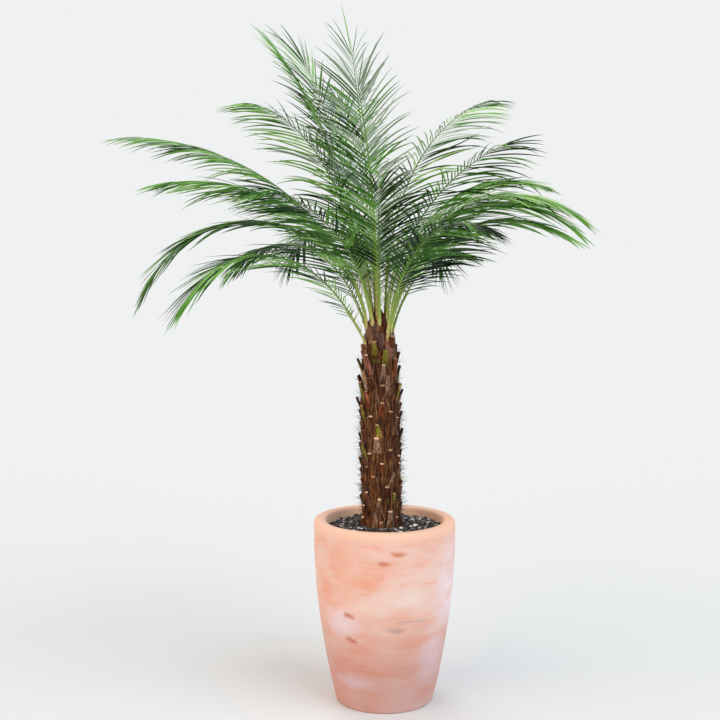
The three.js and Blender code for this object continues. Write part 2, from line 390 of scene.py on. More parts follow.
def shared_group(name, inputs, result, work_out):
    """The shader node group of a name, with named inputs and one result. It is built when the
    first material asks for it, and the others place the same group."""
    if name in bpy.data.node_groups:
        return bpy.data.node_groups[name]
    tree = bpy.data.node_groups.new(name, "ShaderNodeTree")
    for socket, kind in inputs.items():
        tree.interface.new_socket(name=socket, in_out="INPUT", socket_type=kind)
    tree.interface.new_socket(name=result, in_out="OUTPUT", socket_type="NodeSocketFloat")
    given = tree.nodes.new("NodeGroupInput").outputs
    add_node(tree, "NodeGroupOutput", {result: work_out(tree, given)})
    return tree


def grain_group():
    """Noise on coordinates that are stretched first: a small stretch on an axis draws the grain
    out along it. The value runs from 0 to 1."""

    def work_out(tree, given):
        stretched = add_node(
            tree, "ShaderNodeVectorMath", {0: given["Vector"], 1: given["Stretch"]},
            operation="MULTIPLY",
        )
        return add_node(tree, "ShaderNodeTexNoise", {
            "Vector": stretched.outputs["Vector"],
            "Scale": given["Scale"],
            "Detail": given["Detail"],
            "Roughness": 0.6,
        }).outputs["Fac"]

    inputs = {
        "Vector": "NodeSocketVector",
        "Stretch": "NodeSocketVector",
        "Scale": "NodeSocketFloat",
        "Detail": "NodeSocketFloat",
    }
    return shared_group("Stretched grain", inputs, "Value", work_out)


def mark_group():
    """A soft oval mark: its distance from the centre, measured in its own half sizes, eased from
    0 at the outline to 1 near the middle."""

    def work_out(tree, given):
        def vector_math(operation, *values):
            return add_node(
                tree, "ShaderNodeVectorMath", dict(enumerate(values)), operation=operation
            ).outputs

        offset = vector_math("SUBTRACT", given["Vector"], given["Centre"])["Vector"]
        scaled = vector_math("DIVIDE", offset, given["Half size"])["Vector"]
        distance = vector_math("LENGTH", scaled)["Value"]
        return add_node(
            tree, "ShaderNodeMapRange", {"Value": distance, "From Min": 1.0, "From Max": 0.1},
            interpolation_type="SMOOTHSTEP",
        ).outputs["Result"]

    inputs = dict.fromkeys(["Vector", "Centre", "Half size"], "NodeSocketVector")
    return shared_group("Soft mark", inputs, "Mask", work_out)


# ---- materials


class Finish:
    """A material under construction, with short calls for the nodes that it is made of."""

    def __init__(self, name, roughness, specular):
        self.material = bpy.data.materials.new(name)
        self.material.use_nodes = True
        self.tree = self.material.node_tree
        self.shader = self.tree.nodes["Principled BSDF"]
        self.give("Roughness", roughness)
        self.give("Specular IOR Level", specular)
        self.place = self.node("ShaderNodeTexCoord", {}, "Object")

    def give(self, socket, value):
        """Feeds one socket of the surface shader."""
        feed(self.tree, self.shader.inputs[socket], value)

    def node(self, kind, inputs, result, **settings):
        """Adds a node and returns one of its outputs."""
        return add_node(self.tree, kind, inputs, **settings).outputs[result]

    def grain(self, scale, stretch=(1, 1, 1), detail=4.0):
        """The shared grain, with this material's own scale, stretch and detail."""
        inputs = {"Vector": self.place, "Stretch": stretch, "Scale": scale, "Detail": detail}
        return self.node("ShaderNodeGroup", inputs, "Value", node_tree=grain_group())

    def mark(self, place, centre, half_size):
        """The shared soft mark, at a centre and with half sizes of its own."""
        inputs = {"Vector": place, "Centre": centre, "Half size": half_size}
        return self.node("ShaderNodeGroup", inputs, "Mask", node_tree=mark_group())

    def ramp(self, value, low, high, low_result=0.0, high_result=1.0):
        """Maps a value from low..high to low_result..high_result, clamped and eased."""
        inputs = {"From Min": low, "From Max": high, "To Min": low_result, "To Max": high_result}
        inputs["Value"] = value
        return self.node("ShaderNodeMapRange", inputs, "Result", interpolation_type="SMOOTHSTEP")

    def math(self, operation, first, second=0.0):
        """One step of arithmetic on one or two values."""
        return self.node("ShaderNodeMath", {0: first, 1: second}, "Value", operation=operation)

    def mix(self, mask, under, over):
        """One colour over another, by a mask."""
        inputs = {"Factor": mask, 6: opaque(under), 7: opaque(over)}
        return self.node("ShaderNodeMix", inputs, 2, data_type="RGBA")

    def bump(self, height, distance, strength=1.0):
        """Raises the surface by a height from 0 to 1, times a distance in metres."""
        inputs = {"Strength": strength, "Distance": distance, "Height": height}
        self.give("Normal", self.node("ShaderNodeBump", inputs, "Normal"))


def plain_finish(name, colour, roughness, scale, stretch=(1, 1, 1), depth=0.0002, specular=0.4):
    """One plain colour with a fine grain in its surface, for small things joined by the
    hundred, whose colours are dealt out piece by piece."""
    finish = Finish(name, roughness, specular)
    finish.give("Base Color", opaque(colour))
    finish.bump(finish.grain(scale, stretch), depth)
    return finish.material


# How far noise moves the outline of a mark along X, Y and Z.
MARK_WANDER = (0.030, 0.030, 0.018)

# The marks of each kind on the clay: the centre and the half sizes along X, Y and Z, in
# millimetres. Most are the clay's own patches, but the warm marks at X = -120 and -128 mm, on the
# left side, are painted warm light, and the lilac marks at X = 100 mm and more, on the right side,
# are painted cool light.
MARKS = {
    "warm": [
        (12, -149, 320, 30, 40, 11), (-20, -147, 306, 75, 60, 36), (-46, -140, 274, 56, 60, 30),
        (-95, -120, 318, 60, 80, 48), (-120, -70, 250, 40, 70, 70), (78, -114, 192, 46, 50, 13),
        (54, -120, 152, 60, 60, 24), (-44, -125, 136, 52, 60, 24), (34, -118, 96, 70, 60, 24),
        (-30, -119, 90, 80, 60, 22), (-92, -80, 100, 46, 60, 40), (74, -70, 34, 46, 50, 26),
        (-20, 144, 296, 85, 60, 40), (70, 118, 236, 66, 60, 30), (130, 35, 290, 50, 70, 34),
        (-128, 40, 180, 50, 70, 40), (-50, 110, 110, 70, 60, 26), (60, 100, 80, 60, 60, 24),
    ],
    "chalk": [
        (40, -140, 246, 110, 80, 34), (-30, -140, 226, 80, 70, 24), (-90, 110, 300, 60, 80, 60),
        (10, 136, 230, 80, 70, 28),
    ],
    "lilac": [
        (-90, -105, 190, 60, 80, 44), (-70, -100, 66, 70, 70, 26), (140, -60, 250, 60, 100, 150),
        (100, -80, 110, 62, 80, 85), (120, 60, 200, 60, 80, 60), (-70, 90, 60, 80, 70, 30),
    ],
    "soot": [
        (39, -136, 198, 26, 30, 6), (68, -124, 199, 22, 30, 5.5), (20, -137, 183, 40, 40, 8),
        (74, -118, 184, 40, 40, 8), (20, 128, 172, 40, 40, 8.5), (-16, 128, 190, 26, 40, 7),
    ],
    "rust": [
        (-6, -149, 320, 20, 40, 8.5), (28, -147, 340, 19, 40, 8), (-76, -119, 206, 15, 40, 10),
        (-68, -117, 156, 20, 40, 9), (50, 138, 316, 18, 40, 8), (-62, 128, 255, 16, 40, 8.5),
        (92, 90, 150, 18, 40, 8.5),
    ],
}


def terracotta(settings):
    """Matt fired clay: soft patches of warmer clay and of pale and lilac bloom, rust and soot marks
    from the firing, a warm rim, worn and with a painted highlight, a foot darkened towards the
    bottom as painted shade, an inner wall lightened as painted light, and fine level throwing
    lines. Two warm marks on the left side and the lilac marks on the right side are painted light."""
    finish = Finish("terracotta", 0.82, 0.2)
    split = add_node(finish.tree, "ShaderNodeSeparateXYZ", {0: finish.place}).outputs
    height = split["Z"]
    broad = finish.grain(7.0, (1, 1, 1.7), 2.0)
    clouds = finish.grain(15.0, (0.7, 0.7, 2.0), 3.0)
    lines = finish.grain(80.0, (0.14, 0.14, 3.5), 3.0)
    speckle = finish.grain(420.0, detail=2.0)
    # The marks' outlines are bent by noise, about evenly both ways, so that none is a clean oval.
    wander = finish.node(
        "ShaderNodeTexNoise", {"Vector": finish.place, "Scale": 32.0, "Detail": 4.0}, "Color"
    )
    bent = finish.node(
        "ShaderNodeVectorMath", {0: wander, 1: MARK_WANDER, 2: finish.place}, "Vector",
        operation="MULTIPLY_ADD",
    )
    half_wander = tuple(reach / 2 for reach in MARK_WANDER)
    centred = finish.node(
        "ShaderNodeVectorMath", {0: bent, 1: half_wander}, "Vector", operation="SUBTRACT"
    )
    masks = dict.fromkeys(MARKS, 0.0)
    for kind, rows in MARKS.items():
        for row in rows:
            sizes = [size * MM for size in row]
            mask = finish.mark(centred, sizes[:3], sizes[3:])
            masks[kind] = finish.math("MAXIMUM", masks[kind], mask)

    def clouded(mask, thin, thick, low, high):
        """A mask whose cover goes from low to high with the clouds."""
        return finish.math("MULTIPLY", mask, finish.ramp(clouds, thin, thick, low, high))

    def marked(surface, kind, colour, low, high):
        """The surface under one kind of mark."""
        return finish.mix(clouded(masks[kind], 0.30, 0.62, low, high), surface, colour)

    surface = finish.mix(
        finish.ramp(broad, 0.38, 0.60, 0.0, 0.55), settings.clay, settings.chalk
    )
    surface = finish.mix(finish.ramp(clouds, 0.34, 0.52, 0.52, 0.0), surface, settings.warm)
    surface = marked(surface, "chalk", settings.chalk, 0.5, 0.95)
    # Painted light: the lilac marks on the right side stand for cool light; the others are bloom.
    surface = marked(surface, "lilac", settings.lilac, 0.5, 0.95)
    # Painted light: the warm marks on the left side stand for warm light; the others are warmer
    # clay.
    surface = marked(surface, "warm", settings.warm, 0.80, 0.50)
    surface = finish.mix(finish.ramp(lines, 0.44, 0.66, 0.0, 0.22), surface, settings.chalk)
    surface = marked(surface, "soot", settings.soot, 0.75, 0.20)
    surface = marked(surface, "rust", settings.rust, 0.95, 0.70)
    # The lip is lighter, where the bloom is worn off and as a painted highlight on its lit top; the
    # foot is darker towards the bottom as painted shade; and the inner wall is bare clay, lightened
    # as painted light.
    rim = clouded(finish.ramp(height, 0.356, 0.374), 0.3, 0.6, 0.95, 0.55)
    surface = finish.mix(rim, surface, settings.rim_wear_and_painted_highlight)
    # Painted shade: the clay darkens towards the bottom, from 250 mm down.
    surface = finish.mix(finish.ramp(height, 0.25, 0.06, 0.0, 0.55), surface, settings.painted_foot_shade)
    # Painted light: the inner wall near the soil is lightened towards the bare clay colour.
    inside = clouded(inner_wall_mask(finish, split), 0.35, 0.6, 1.0, 0.7)
    surface = finish.mix(inside, surface, settings.bare)
    surface = finish.mix(finish.ramp(speckle, 0.30, 0.62, 0.06, 0.0), surface, settings.rust)
    finish.give("Base Color", surface)
    finish.give("Roughness", finish.ramp(clouds, 0.3, 0.7, 0.76, 0.92))
    throwing, pores = finish.math("MULTIPLY", lines, 0.8), finish.math("MULTIPLY", speckle, 0.4)
    finish.bump(finish.math("ADD", throwing, pores), 0.0005, 0.8)
    return finish.material


def inner_wall_mask(finish, split):
    """1 on the inner wall near the soil: where the distance from the axis is under the lip's inner
    radius, fading out towards the rim and below the soil. It places the painted light on the inner
    wall."""
    across = finish.math("POWER", split["X"], 2.0)
    along = finish.math("POWER", split["Y"], 2.0)
    radius = finish.math("SQRT", finish.math("ADD", across, along))
    inside = finish.ramp(radius, POT_LIP_INNER_RADIUS + 0.0016, POT_LIP_INNER_RADIUS + 0.0004)
    low = finish.ramp(split["Z"], POT_TOP.z - 0.004, POT_TOP.z - 0.010)
    high = finish.ramp(split["Z"], SOIL_TOP - 0.020, SOIL_TOP - 0.010)
    return finish.math("MULTIPLY", finish.math("MULTIPLY", inside, low), high)


def earth_finish():
    """Moist potting mix: near-black peat with browner and greyer crumbs."""
    finish = Finish("peat", 0.95, 0.2)
    crumbs = finish.grain(260.0, detail=5.0)
    tone = finish.grain(60.0, detail=3.0)
    black, brown, grey = (0.012, 0.009, 0.008), (0.045, 0.030, 0.022), (0.14, 0.11, 0.10)
    surface = finish.mix(finish.ramp(tone, 0.35, 0.65), black, brown)
    surface = finish.mix(finish.ramp(crumbs, 0.58, 0.72, 0.0, 0.6), surface, grey)
    finish.give("Base Color", surface)
    finish.bump(crumbs, 0.0012)
    return finish.material


def fibre_finish(name, dark, middle, pale):
    """Matted bark fibre: three browns in grain drawn out along the trunk, with fine raised
    threads."""
    finish = Finish(name, 0.9, 0.12)
    threads = finish.grain(420.0, (1, 1, 0.09), 5.0)
    bands = finish.grain(120.0, (1, 1, 0.14), 4.0)
    patches = finish.grain(34.0, (1, 1, 0.5), 3.0)
    surface = finish.mix(finish.ramp(threads, 0.36, 0.62), dark, middle)
    surface = finish.mix(finish.ramp(bands, 0.52, 0.70, 0.0, 0.8), surface, pale)
    surface = finish.mix(finish.ramp(patches, 0.40, 0.66, 0.55, 0.0), surface, dark)
    finish.give("Base Color", surface)
    finish.give("Roughness", finish.ramp(bands, 0.3, 0.7, 0.95, 0.78))
    finish.bump(finish.math("ADD", threads, finish.math("MULTIPLY", bands, 1.5)), 0.0012)
    return finish.material


# ---- pot and soil


def pot_outer_radius(height):
    """A parabola from the foot to the belly: belly - (belly - foot) * (1 - height / belly's
    height)^2."""
    fall = 1 - np.minimum(height / POT_BELLY_HEIGHT, 1)
    return POT_TOP.x - (POT_TOP.x - POT_BASE_RADIUS) * fall * fall


def pot_inner_radius(height):
    """The outside less the wall, up to the straight throat."""
    return np.minimum(POT_THROAT_RADIUS, pot_outer_radius(height) - POT_WALL)


def pot_profile():
    """Radius and height from the middle of the underside, up the outside, over the lip and down
    the inside to the middle of the floor. The foot's edge is a quarter of a circle. The lip is
    half a rounded oblong: the square roots of a cosine and a sine."""
    corner = np.linspace(-math.pi / 2, 0, 6)
    foot_radius = pot_outer_radius(POT_EDGE) - POT_EDGE * (1 - np.cos(corner))
    outside = np.linspace(*POT_OUTSIDE_SPAN, 46)
    lip = np.linspace(0, math.pi, 25)
    middle = (POT_TOP.x + POT_LIP_INNER_RADIUS) / 2
    half = (POT_TOP.x - POT_LIP_INNER_RADIUS) / 2
    lip_radius = middle + half * np.sign(np.cos(lip)) * np.abs(np.cos(lip)) ** 0.5
    lip_height = POT_BELLY_HEIGHT + (POT_TOP.z - POT_BELLY_HEIGHT) * np.sin(lip) ** 0.5
    inside = np.linspace(*POT_INSIDE_SPAN[::-1], 24)
    return np.concatenate([
        [[POT_INNER_RING, 0.0], [2 * POT_INNER_RING, 0.0]],
        np.stack([foot_radius, POT_EDGE * (1 + np.sin(corner))], -1),
        np.stack([pot_outer_radius(outside), outside], -1),
        np.stack([lip_radius, lip_height], -1),
        [POT_SHOULDER, [POT_THROAT_RADIUS, POT_THROAT_HEIGHT]],
        np.stack([pot_inner_radius(inside), inside], -1),
        [[POT_FLOOR_RADIUS, POT_FLOOR], [POT_INNER_RING, POT_FLOOR]],
    ])


def build_pot(settings):
    """The profile turned about the Z axis, with the wall pressed in or out by up to a third of a
    millimetre by smooth noise, as hand-finished clay is."""
    rng = np.random.default_rng(SEED)
    profile = pot_profile()
    columns = 144
    uneven = wrapped_noise(rng, len(profile), columns, 9, 7) * 0.0003
    uneven *= (profile[:, 1] > 0.01)[:, None]
    rings = turned(ring_angles(columns), profile[:, :1] + uneven, profile[:, 1:])
    clay = terracotta(settings)
    new_turned_piece("pot_shell", rings, (0, 0, 0), (0, 0, POT_FLOOR), clay, "terracotta", "pot")


# Distance from the axis and how far the soil is heaped above its level there, and the distances
# between which its top is sampled.
SOIL_HEAP = ([0.066, 0.086, 0.108, 0.122], [0.013, 0.0105, 0.0080, 0.0060])
SOIL_REACH = (0.1225, 0.004)


def soil_height(radius, angle):
    """The soil's surface: heaped round the trunk and lower at the wall, with low waves that are
    a sine times a cosine of radius and angle."""
    heap = SOIL_TOP + np.interp(radius, *SOIL_HEAP)
    return heap + 0.0009 * np.sin(radius * 210 + 3 * angle) * np.cos(2 * angle + radius * 90)


def build_soil(settings):
    """A filling turned about the Z axis that follows the pot's inside, with a rough top, and
    bark chips and grit strewn over it."""
    rng = np.random.default_rng(SEED + 1)
    columns = 96
    angle = ring_angles(columns)
    side = np.linspace(*POT_INSIDE_SPAN, 16)
    gap = 2 * CLEARANCE
    rows = np.concatenate([
        [[POT_INNER_RING, SOIL_BOTTOM], [POT_FLOOR_RADIUS - gap, SOIL_BOTTOM]],
        np.stack([pot_inner_radius(side) - gap, side], -1),
        [[POT_THROAT_RADIUS - gap, POT_THROAT_HEIGHT]],
    ])
    below = np.broadcast_to(rows[:, None], (len(rows), columns, 2))
    reach = np.linspace(*SOIL_REACH, 44)[:, None] * np.ones(columns)
    crumbs = wrapped_noise(rng, len(reach), columns, 30, 60) * 0.0009
    top = np.stack([reach, soil_height(reach, angle) + crumbs], -1)
    profile = np.concatenate([below, top])
    rings = turned(angle, profile[..., 0], profile[..., 1])
    low, high = (0, 0, SOIL_BOTTOM), (0, 0, SOIL_TOP)
    new_turned_piece("soil_filling", rings, low, high, earth_finish(), "soil", "soil")
    # Each kind of chip: its colour, its share of all chips and its size.
    chips = [
        ("chips_black", (0.016, 0.012, 0.012), 0.34, 1.0),
        ("chips_brown", (0.055, 0.034, 0.024), 0.20, 1.0),
        ("chips_slate", (0.090, 0.074, 0.078), 0.21, 0.9),
        # Painted highlights: the ash and pale chips are partly pale chips and partly stand for the
        # glints on wet dark chips.
        ("chips_ash", (0.400, 0.350, 0.340), 0.17, 0.80),
        ("chips_pale", (0.820, 0.770, 0.740), 0.08, 0.75),
    ]
    for name, colour, share, size in chips:
        finish = plain_finish(name, colour, 0.6, 700.0, depth=0.0004)
        strew(name, rng, int(settings.chips * share), settings.chip_length * size, finish)
    grit = plain_finish("grit_white", (0.78, 0.76, 0.72), 0.7, 900.0, depth=0.0003)
    strew("grit_white", rng, settings.grit, settings.chip_length * 0.28, grit)


CHIP_SECTION = np.array([[-1, 0], [-0.6, -0.8], [0.5, -0.9], [1, 0], [0.55, 0.85], [-0.5, 0.9]])
CHIP_SWELL = np.array([0.45, 0.95, 1.0, 0.55])
CHIP_RING = (0.047, 0.1175)
CHIP_NEAR_TRUNK = 0.06


def strew(name, rng, count, length, material):
    """Chips strewn over the soil round the trunk: a six-cornered section carried along a short
    level line, swelling in the middle, with every corner moved at random."""
    inner, outer = CHIP_RING
    radius = np.sqrt(rng.uniform(inner**2, outer**2, count))
    angle = rng.uniform(0, TURN, count)
    heading = rng.uniform(0, TURN, count)
    tilt = rng.normal(0, 0.28, count)
    level = np.cos(tilt)
    along = np.stack([np.cos(heading) * level, np.sin(heading) * level, np.sin(tilt)], -1)
    roll = rng.normal(0, 0.35, count)[:, None]
    sideways = unit(np.cross(along, DOWN))
    across = np.cos(roll) * sideways + np.sin(roll) * np.cross(sideways, along)
    half_length = length * rng.uniform(0.3, 0.8, count)
    # Near the trunk the chips are laid round its foot, which isn't in the middle of the pot.
    centre_x = TRUNK_FOOT_X * (radius < CHIP_NEAR_TRUNK) + radius * np.cos(angle)
    centre = np.stack([centre_x, radius * np.sin(angle), soil_height(radius, angle)], -1)
    centre[:, 2] += rng.uniform(0.0, 0.0028, count)
    steps = np.linspace(-1, 1, len(CHIP_SWELL))
    path = centre[:, None] + along[:, None] * (half_length[:, None] * steps)[..., None]
    half_width = (half_length * rng.uniform(0.4, 0.8, count))[:, None] * CHIP_SWELL
    half_depth = (half_length * rng.uniform(0.15, 0.4, count))[:, None] * CHIP_SWELL
    depth = np.cross(along, across)
    points = carried(CHIP_SECTION, path, across[:, None], depth[:, None], half_width, half_depth)
    points += rng.uniform(-1, 1, points.shape) * (half_depth * 0.25)[:, :, None, None]
    new_tubes(name, points, material)


# ---- trunk


def stub_layout(settings):
    """Where the stubs of old stalks stand: a spiral of golden-angle turns, in even steps up the
    trunk, each moved a little at random. Returns angle, height of the cut, exposed length and
    half width, all of which grow towards the crown."""
    rng = np.random.default_rng(SEED + 2)
    number = np.arange(settings.stubs)
    share = number / (settings.stubs - 1)
    angle = number * GOLDEN_ANGLE + rng.normal(0, 0.10, settings.stubs)
    height = TRUNK_FOOT + 0.016 + share * 0.400 + rng.normal(0, 0.0030, settings.stubs)
    young = np.clip((share - 0.30) / 0.6, 0, 1)
    length = (0.012 + 0.013 * young) * rng.uniform(0.75, 1.25, settings.stubs)
    half_width = (0.0047 + 0.0010 * young) * rng.uniform(0.8, 1.15, settings.stubs)
    return angle, height, length, half_width, young


# How far the bark runs up into the heart, and how far under the plain outline its relief, the
# stubs, and the heart's fibre and the hairs are rooted.
TRUNK_OVERLAP = 0.004
BARK_SINK = 0.0032
STUB_SINK = 0.0046
HEART_SINK = 0.003
# The swelling below a stub: how high it is, how far down it runs and where it starts.
SWELLING_HEIGHT = 0.0034
SWELLING_LENGTH = 0.050
SWELLING_START = 0.006
TRUNK_ROWS = 300
TRUNK_COLUMNS = 240
HEART_ROWS = 70


def bark_relief(settings, height, turn):
    """Height of the bark above its roots on a grid of heights and angles.

    Three noises drawn out along the trunk, two of them sharpened into ridges, plus below each
    stub a long swelling that narrows downwards: exp(-(sideways / width)^2) * (1 + down /
    length), cut off above the stub.
    """
    rng = np.random.default_rng(SEED + 3)
    grid = len(height), len(turn)
    ridges = ridged_noise(rng, *grid, 26, 96)
    cords = ridged_noise(rng, *grid, 16, 40)
    lumps = wrapped_noise(rng, *grid, 14, 12)
    relief = settings.relief * (0.26 * ridges + 0.34 * cords + 0.40 * lumps)
    angle, top, _, half_width, _ = stub_layout(settings)
    sideways = (np.mod(turn[:, None] - angle + math.pi, TURN) - math.pi) * TRUNK_USUAL_RADIUS
    down = height[..., None] - (top - SWELLING_START)
    taper = np.clip(1 + down / SWELLING_LENGTH, 0, 1)
    width = half_width * (0.55 + 0.85 * taper)
    cut_off = np.clip(1 - down / SWELLING_START, 0, 1)
    swelling = np.exp(-((sideways / width) ** 2)) * taper * cut_off
    return relief + SWELLING_HEIGHT * swelling.max(axis=2)


def build_trunk(settings):
    """The trunk's plain outline, sunk by the depth of its bark, with the bark's relief on it,
    closed by a cap at the foot and one inside the crown."""
    low, high = TRUNK_FOOT, TRUNK_TOP + TRUNK_OVERLAP
    height = np.linspace(low, high, TRUNK_ROWS)[:, None]
    turn = ring_angles(TRUNK_COLUMNS)
    relief = bark_relief(settings, height, turn)
    rings = trunk_place(turn, trunk_radius(height) - BARK_SINK + relief, height)
    poles = trunk_place(0.0, 0.0, low), trunk_place(0.0, 0.0, high)
    bark = fibre_finish("bark", (0.020, 0.006, 0.003), (0.230, 0.078, 0.020), (0.58, 0.270, 0.090))
    new_turned_piece("trunk_bark", rings, *poles, bark, "bark", "trunk")


STUB_SECTION = np.array([
    [-1, 0.10], [-0.86, -0.42], [-0.45, -0.70], [0, -0.78], [0.45, -0.70], [0.86, -0.42],
    [1, 0.10], [0.80, 0.48], [0.42, 0.62], [0, 0.66], [-0.42, 0.62], [-0.80, 0.48],
])
STUB_SHARES = np.array([0.0, 0.15, 0.32, 0.5, 0.66, 0.8, 0.92, 1.0])


def on_trunk(section, angle, radius, height, half_width, half_depth, lean=0.0):
    """A section carried along paths on the trunk: the angle changes by -a * half width / radius,
    the radius by b * half depth * cos(lean) and the height by -b * half depth * sin(lean). All
    but the section have the shape (paths, stations)."""
    a = section[:, 0] * half_width[..., None]
    b = section[:, 1] * half_depth[..., None]
    lean = np.asarray(lean)[..., None]
    out = radius[..., None] + b * np.cos(lean)
    up = height[..., None] - b * np.sin(lean)
    return trunk_place(angle[..., None] - a / radius[..., None], out, up)


# Each tint of the stubs: its dark, middle and pale fibres. The chances are those of all but the
# last, the green one, which a few stubs take instead, and more of them towards the crown.
STUB_TINTS = [
    ("stub_brown", (0.026, 0.008, 0.004), (0.150, 0.046, 0.020), (0.38, 0.170, 0.080)),
    ("stub_rust", (0.060, 0.012, 0.006), (0.340, 0.082, 0.030), (0.60, 0.230, 0.110)),
    ("stub_tan", (0.130, 0.062, 0.036), (0.420, 0.250, 0.150), (0.70, 0.520, 0.380)),
    ("stub_pink", (0.100, 0.028, 0.018), (0.400, 0.150, 0.100), (0.66, 0.350, 0.250)),
    ("stub_green", (0.090, 0.064, 0.010), (0.245, 0.235, 0.022), (0.62, 0.520, 0.090)),
]
STUB_CHANCES = [0.44, 0.24, 0.18, 0.14]
CUT_TINTS = [
    ("cut_pale", (0.68, 0.43, 0.25)),
    ("cut_tan", (0.42, 0.22, 0.11)),
    ("cut_dark", (0.15, 0.075, 0.045)),
]
CUT_CHANCES = [0.36, 0.34, 0.30]
# The faces of a stub's section from the first corner on: its back and edges stay brown.
STUB_FRONT = np.array([0, 0, 0, 0, 0, 0, 0, 1, 1, 1, 1, 0], bool)


def build_stubs(settings):
    """The cut stalk stubs: an oval section carried up and outwards from the bark, the radius
    rising with a power of the way, and turned square to the path towards a cut across it. Each
    stub has one tint of fibres on its front, brown edges and a cut face."""
    rng = np.random.default_rng(SEED + 4)
    angle, top, length, half_width, young = stub_layout(settings)
    count = len(angle)
    tilt = np.radians(np.interp(young, [0, 1], [40, 33]) + rng.normal(0, 5, count))
    buried = 0.022
    rise = length * np.cos(tilt)
    height = (top - rise - buried)[:, None] + STUB_SHARES * (rise + buried)[:, None]
    lift = (length * np.sin(tilt))[:, None] * STUB_SHARES**1.5
    radius = trunk_radius(height) - STUB_SINK + lift
    heading = angle[:, None] + rng.normal(0, 0.06, count)[:, None] * STUB_SHARES
    wide = half_width[:, None] * np.interp(STUB_SHARES, [0, 0.45, 1], [2.2, 1.5, 1.0])
    thick = (half_width * rng.uniform(0.72, 1.0, count))[:, None]
    thick = thick * np.interp(STUB_SHARES, [0, 1], [1.1, 0.95])
    lean = tilt[:, None] * STUB_SHARES**2
    points = on_trunk(STUB_SECTION, heading, radius, height, wide, thick, lean)
    points += rng.normal(0, 0.00022, points.shape)
    tint = rng.choice(len(STUB_CHANCES), count, p=STUB_CHANCES)
    green = rng.random(count) < np.interp(young, [0, 0.1, 1], [0.03, 0.14, 0.30])
    tint[green] = len(STUB_CHANCES)
    finishes = [fibre_finish(*row) for row in STUB_TINTS]
    finishes += [plain_finish(*row, 0.75, 900.0, depth=0.0003) for row in CUT_TINTS]
    cuts = len(STUB_TINTS) + rng.choice(len(CUT_TINTS), count, p=CUT_CHANCES)
    painted = np.where(STUB_FRONT, tint[:, None, None], 0)
    walls = np.broadcast_to(painted, (count, len(STUB_SHARES) - 1, len(STUB_SECTION))).ravel()
    new_piece(
        "trunk_stubs", points, tube_faces(*points.shape[:3]), finishes,
        kinds=[walls, 0, cuts], smooth=True,
    )


ROUND_SECTION = np.array([[-1, 0], [0, -1], [1, 0], [0, 1]])


def build_strands(settings):
    """Loose fibres that lie along the bark: each starts at a random place, runs upwards with a
    slight drift and a slight wave, and lifts off the bark with the cube of the way."""
    rng = np.random.default_rng(SEED + 5)
    steps = np.linspace(0, 1, 7)
    outline = np.interp(steps, [0, 0.3, 1], [0.4, 1, 0.15])
    # Each tint: its colour and its share of all strands.
    tints = [
        ("strands_dark", (0.022, 0.009, 0.005), 0.34),
        ("strands_red", (0.240, 0.072, 0.022), 0.32),
        ("strands_brown", (0.280, 0.125, 0.045), 0.24),
        ("strands_straw", (0.420, 0.260, 0.140), 0.10),
    ]
    for name, colour, share in tints:
        count = int(settings.strands * share)
        start = rng.uniform(TRUNK_FOOT + 0.004, TRUNK_TOP + 0.036, count)[:, None]
        length = rng.uniform(0.018, 0.062, count)[:, None]
        height = np.minimum(start + length * steps, HEART_TOP - 0.012)
        drift = rng.normal(0, 0.16, count)[:, None]
        wave = 0.03 * np.sin(rng.uniform(0, TURN, count)[:, None] + 5 * steps)
        angle = rng.uniform(0, TURN, count)[:, None] + drift * steps + wave
        lift = rng.exponential(0.0016, count)[:, None] * steps**3
        proud = rng.uniform(-0.001, 0.0016, count)[:, None]
        radius = trunk_radius(height) - 0.0012 + proud + lift
        thin = rng.uniform(0.00028, 0.00060, count)[:, None] * outline
        points = on_trunk(ROUND_SECTION, angle, radius, height, thin * 1.5, thin)
        new_tubes(name, points, plain_finish(name, colour, 0.85, 600.0, (1, 1, 0.1)))


def build_hairs(settings):
    """Stiff hairs and small spines that stand out from the trunk, each a straight thin cone that
    leans up or down at random and bends a little with the square of the way."""
    rng = np.random.default_rng(SEED + 6)
    count = settings.hairs
    steps = np.linspace(0, 1, 4)
    low = rng.beta(1.3, 1.9, count)
    start = TRUNK_FOOT + 0.010 + low * (TRUNK_TOP - TRUNK_FOOT + 0.02)
    angle = rng.uniform(0, TURN, count)
    length = (settings.hair_length * rng.gamma(4.0, 0.27, count).clip(0.35, 1.9))[:, None]
    lean = rng.normal(0.30, 0.55, count)[:, None]
    bend = rng.normal(0, 0.25, count)[:, None]
    radius = trunk_radius(start)[:, None] - HEART_SINK + (length * steps) * np.cos(lean)
    height = start[:, None] + (length * steps) * np.sin(lean) + bend * length * steps**2
    turn = angle[:, None] + rng.normal(0, 0.22, count)[:, None] * steps * length / 0.02
    thin = rng.uniform(0.00032, 0.00056, count)[:, None] * np.interp(steps, [0, 1], [1.0, 0.15])
    centres = trunk_place(turn, radius, height)
    along = unit(np.gradient(centres, axis=1))
    across = unit(np.cross(along, DOWN))
    points = carried(ROUND_SECTION, centres, across, np.cross(along, across), thin, thin)
    finish = plain_finish("trunk_hairs", (0.030, 0.018, 0.013), 0.7, 800.0, depth=0.0001)
    new_tubes("trunk_hairs", points, finish)


# ---- heart of the crown

SHEATH_SECTION = np.array([
    [-1, 0], [-0.7, -0.6], [-0.35, -0.8], [0, -0.85], [0.35, -0.8], [0.7, -0.6],
    [1, 0], [0.72, 0.75], [0.35, 0.6], [0, 1.0], [-0.35, 0.6], [-0.72, 0.75],
])


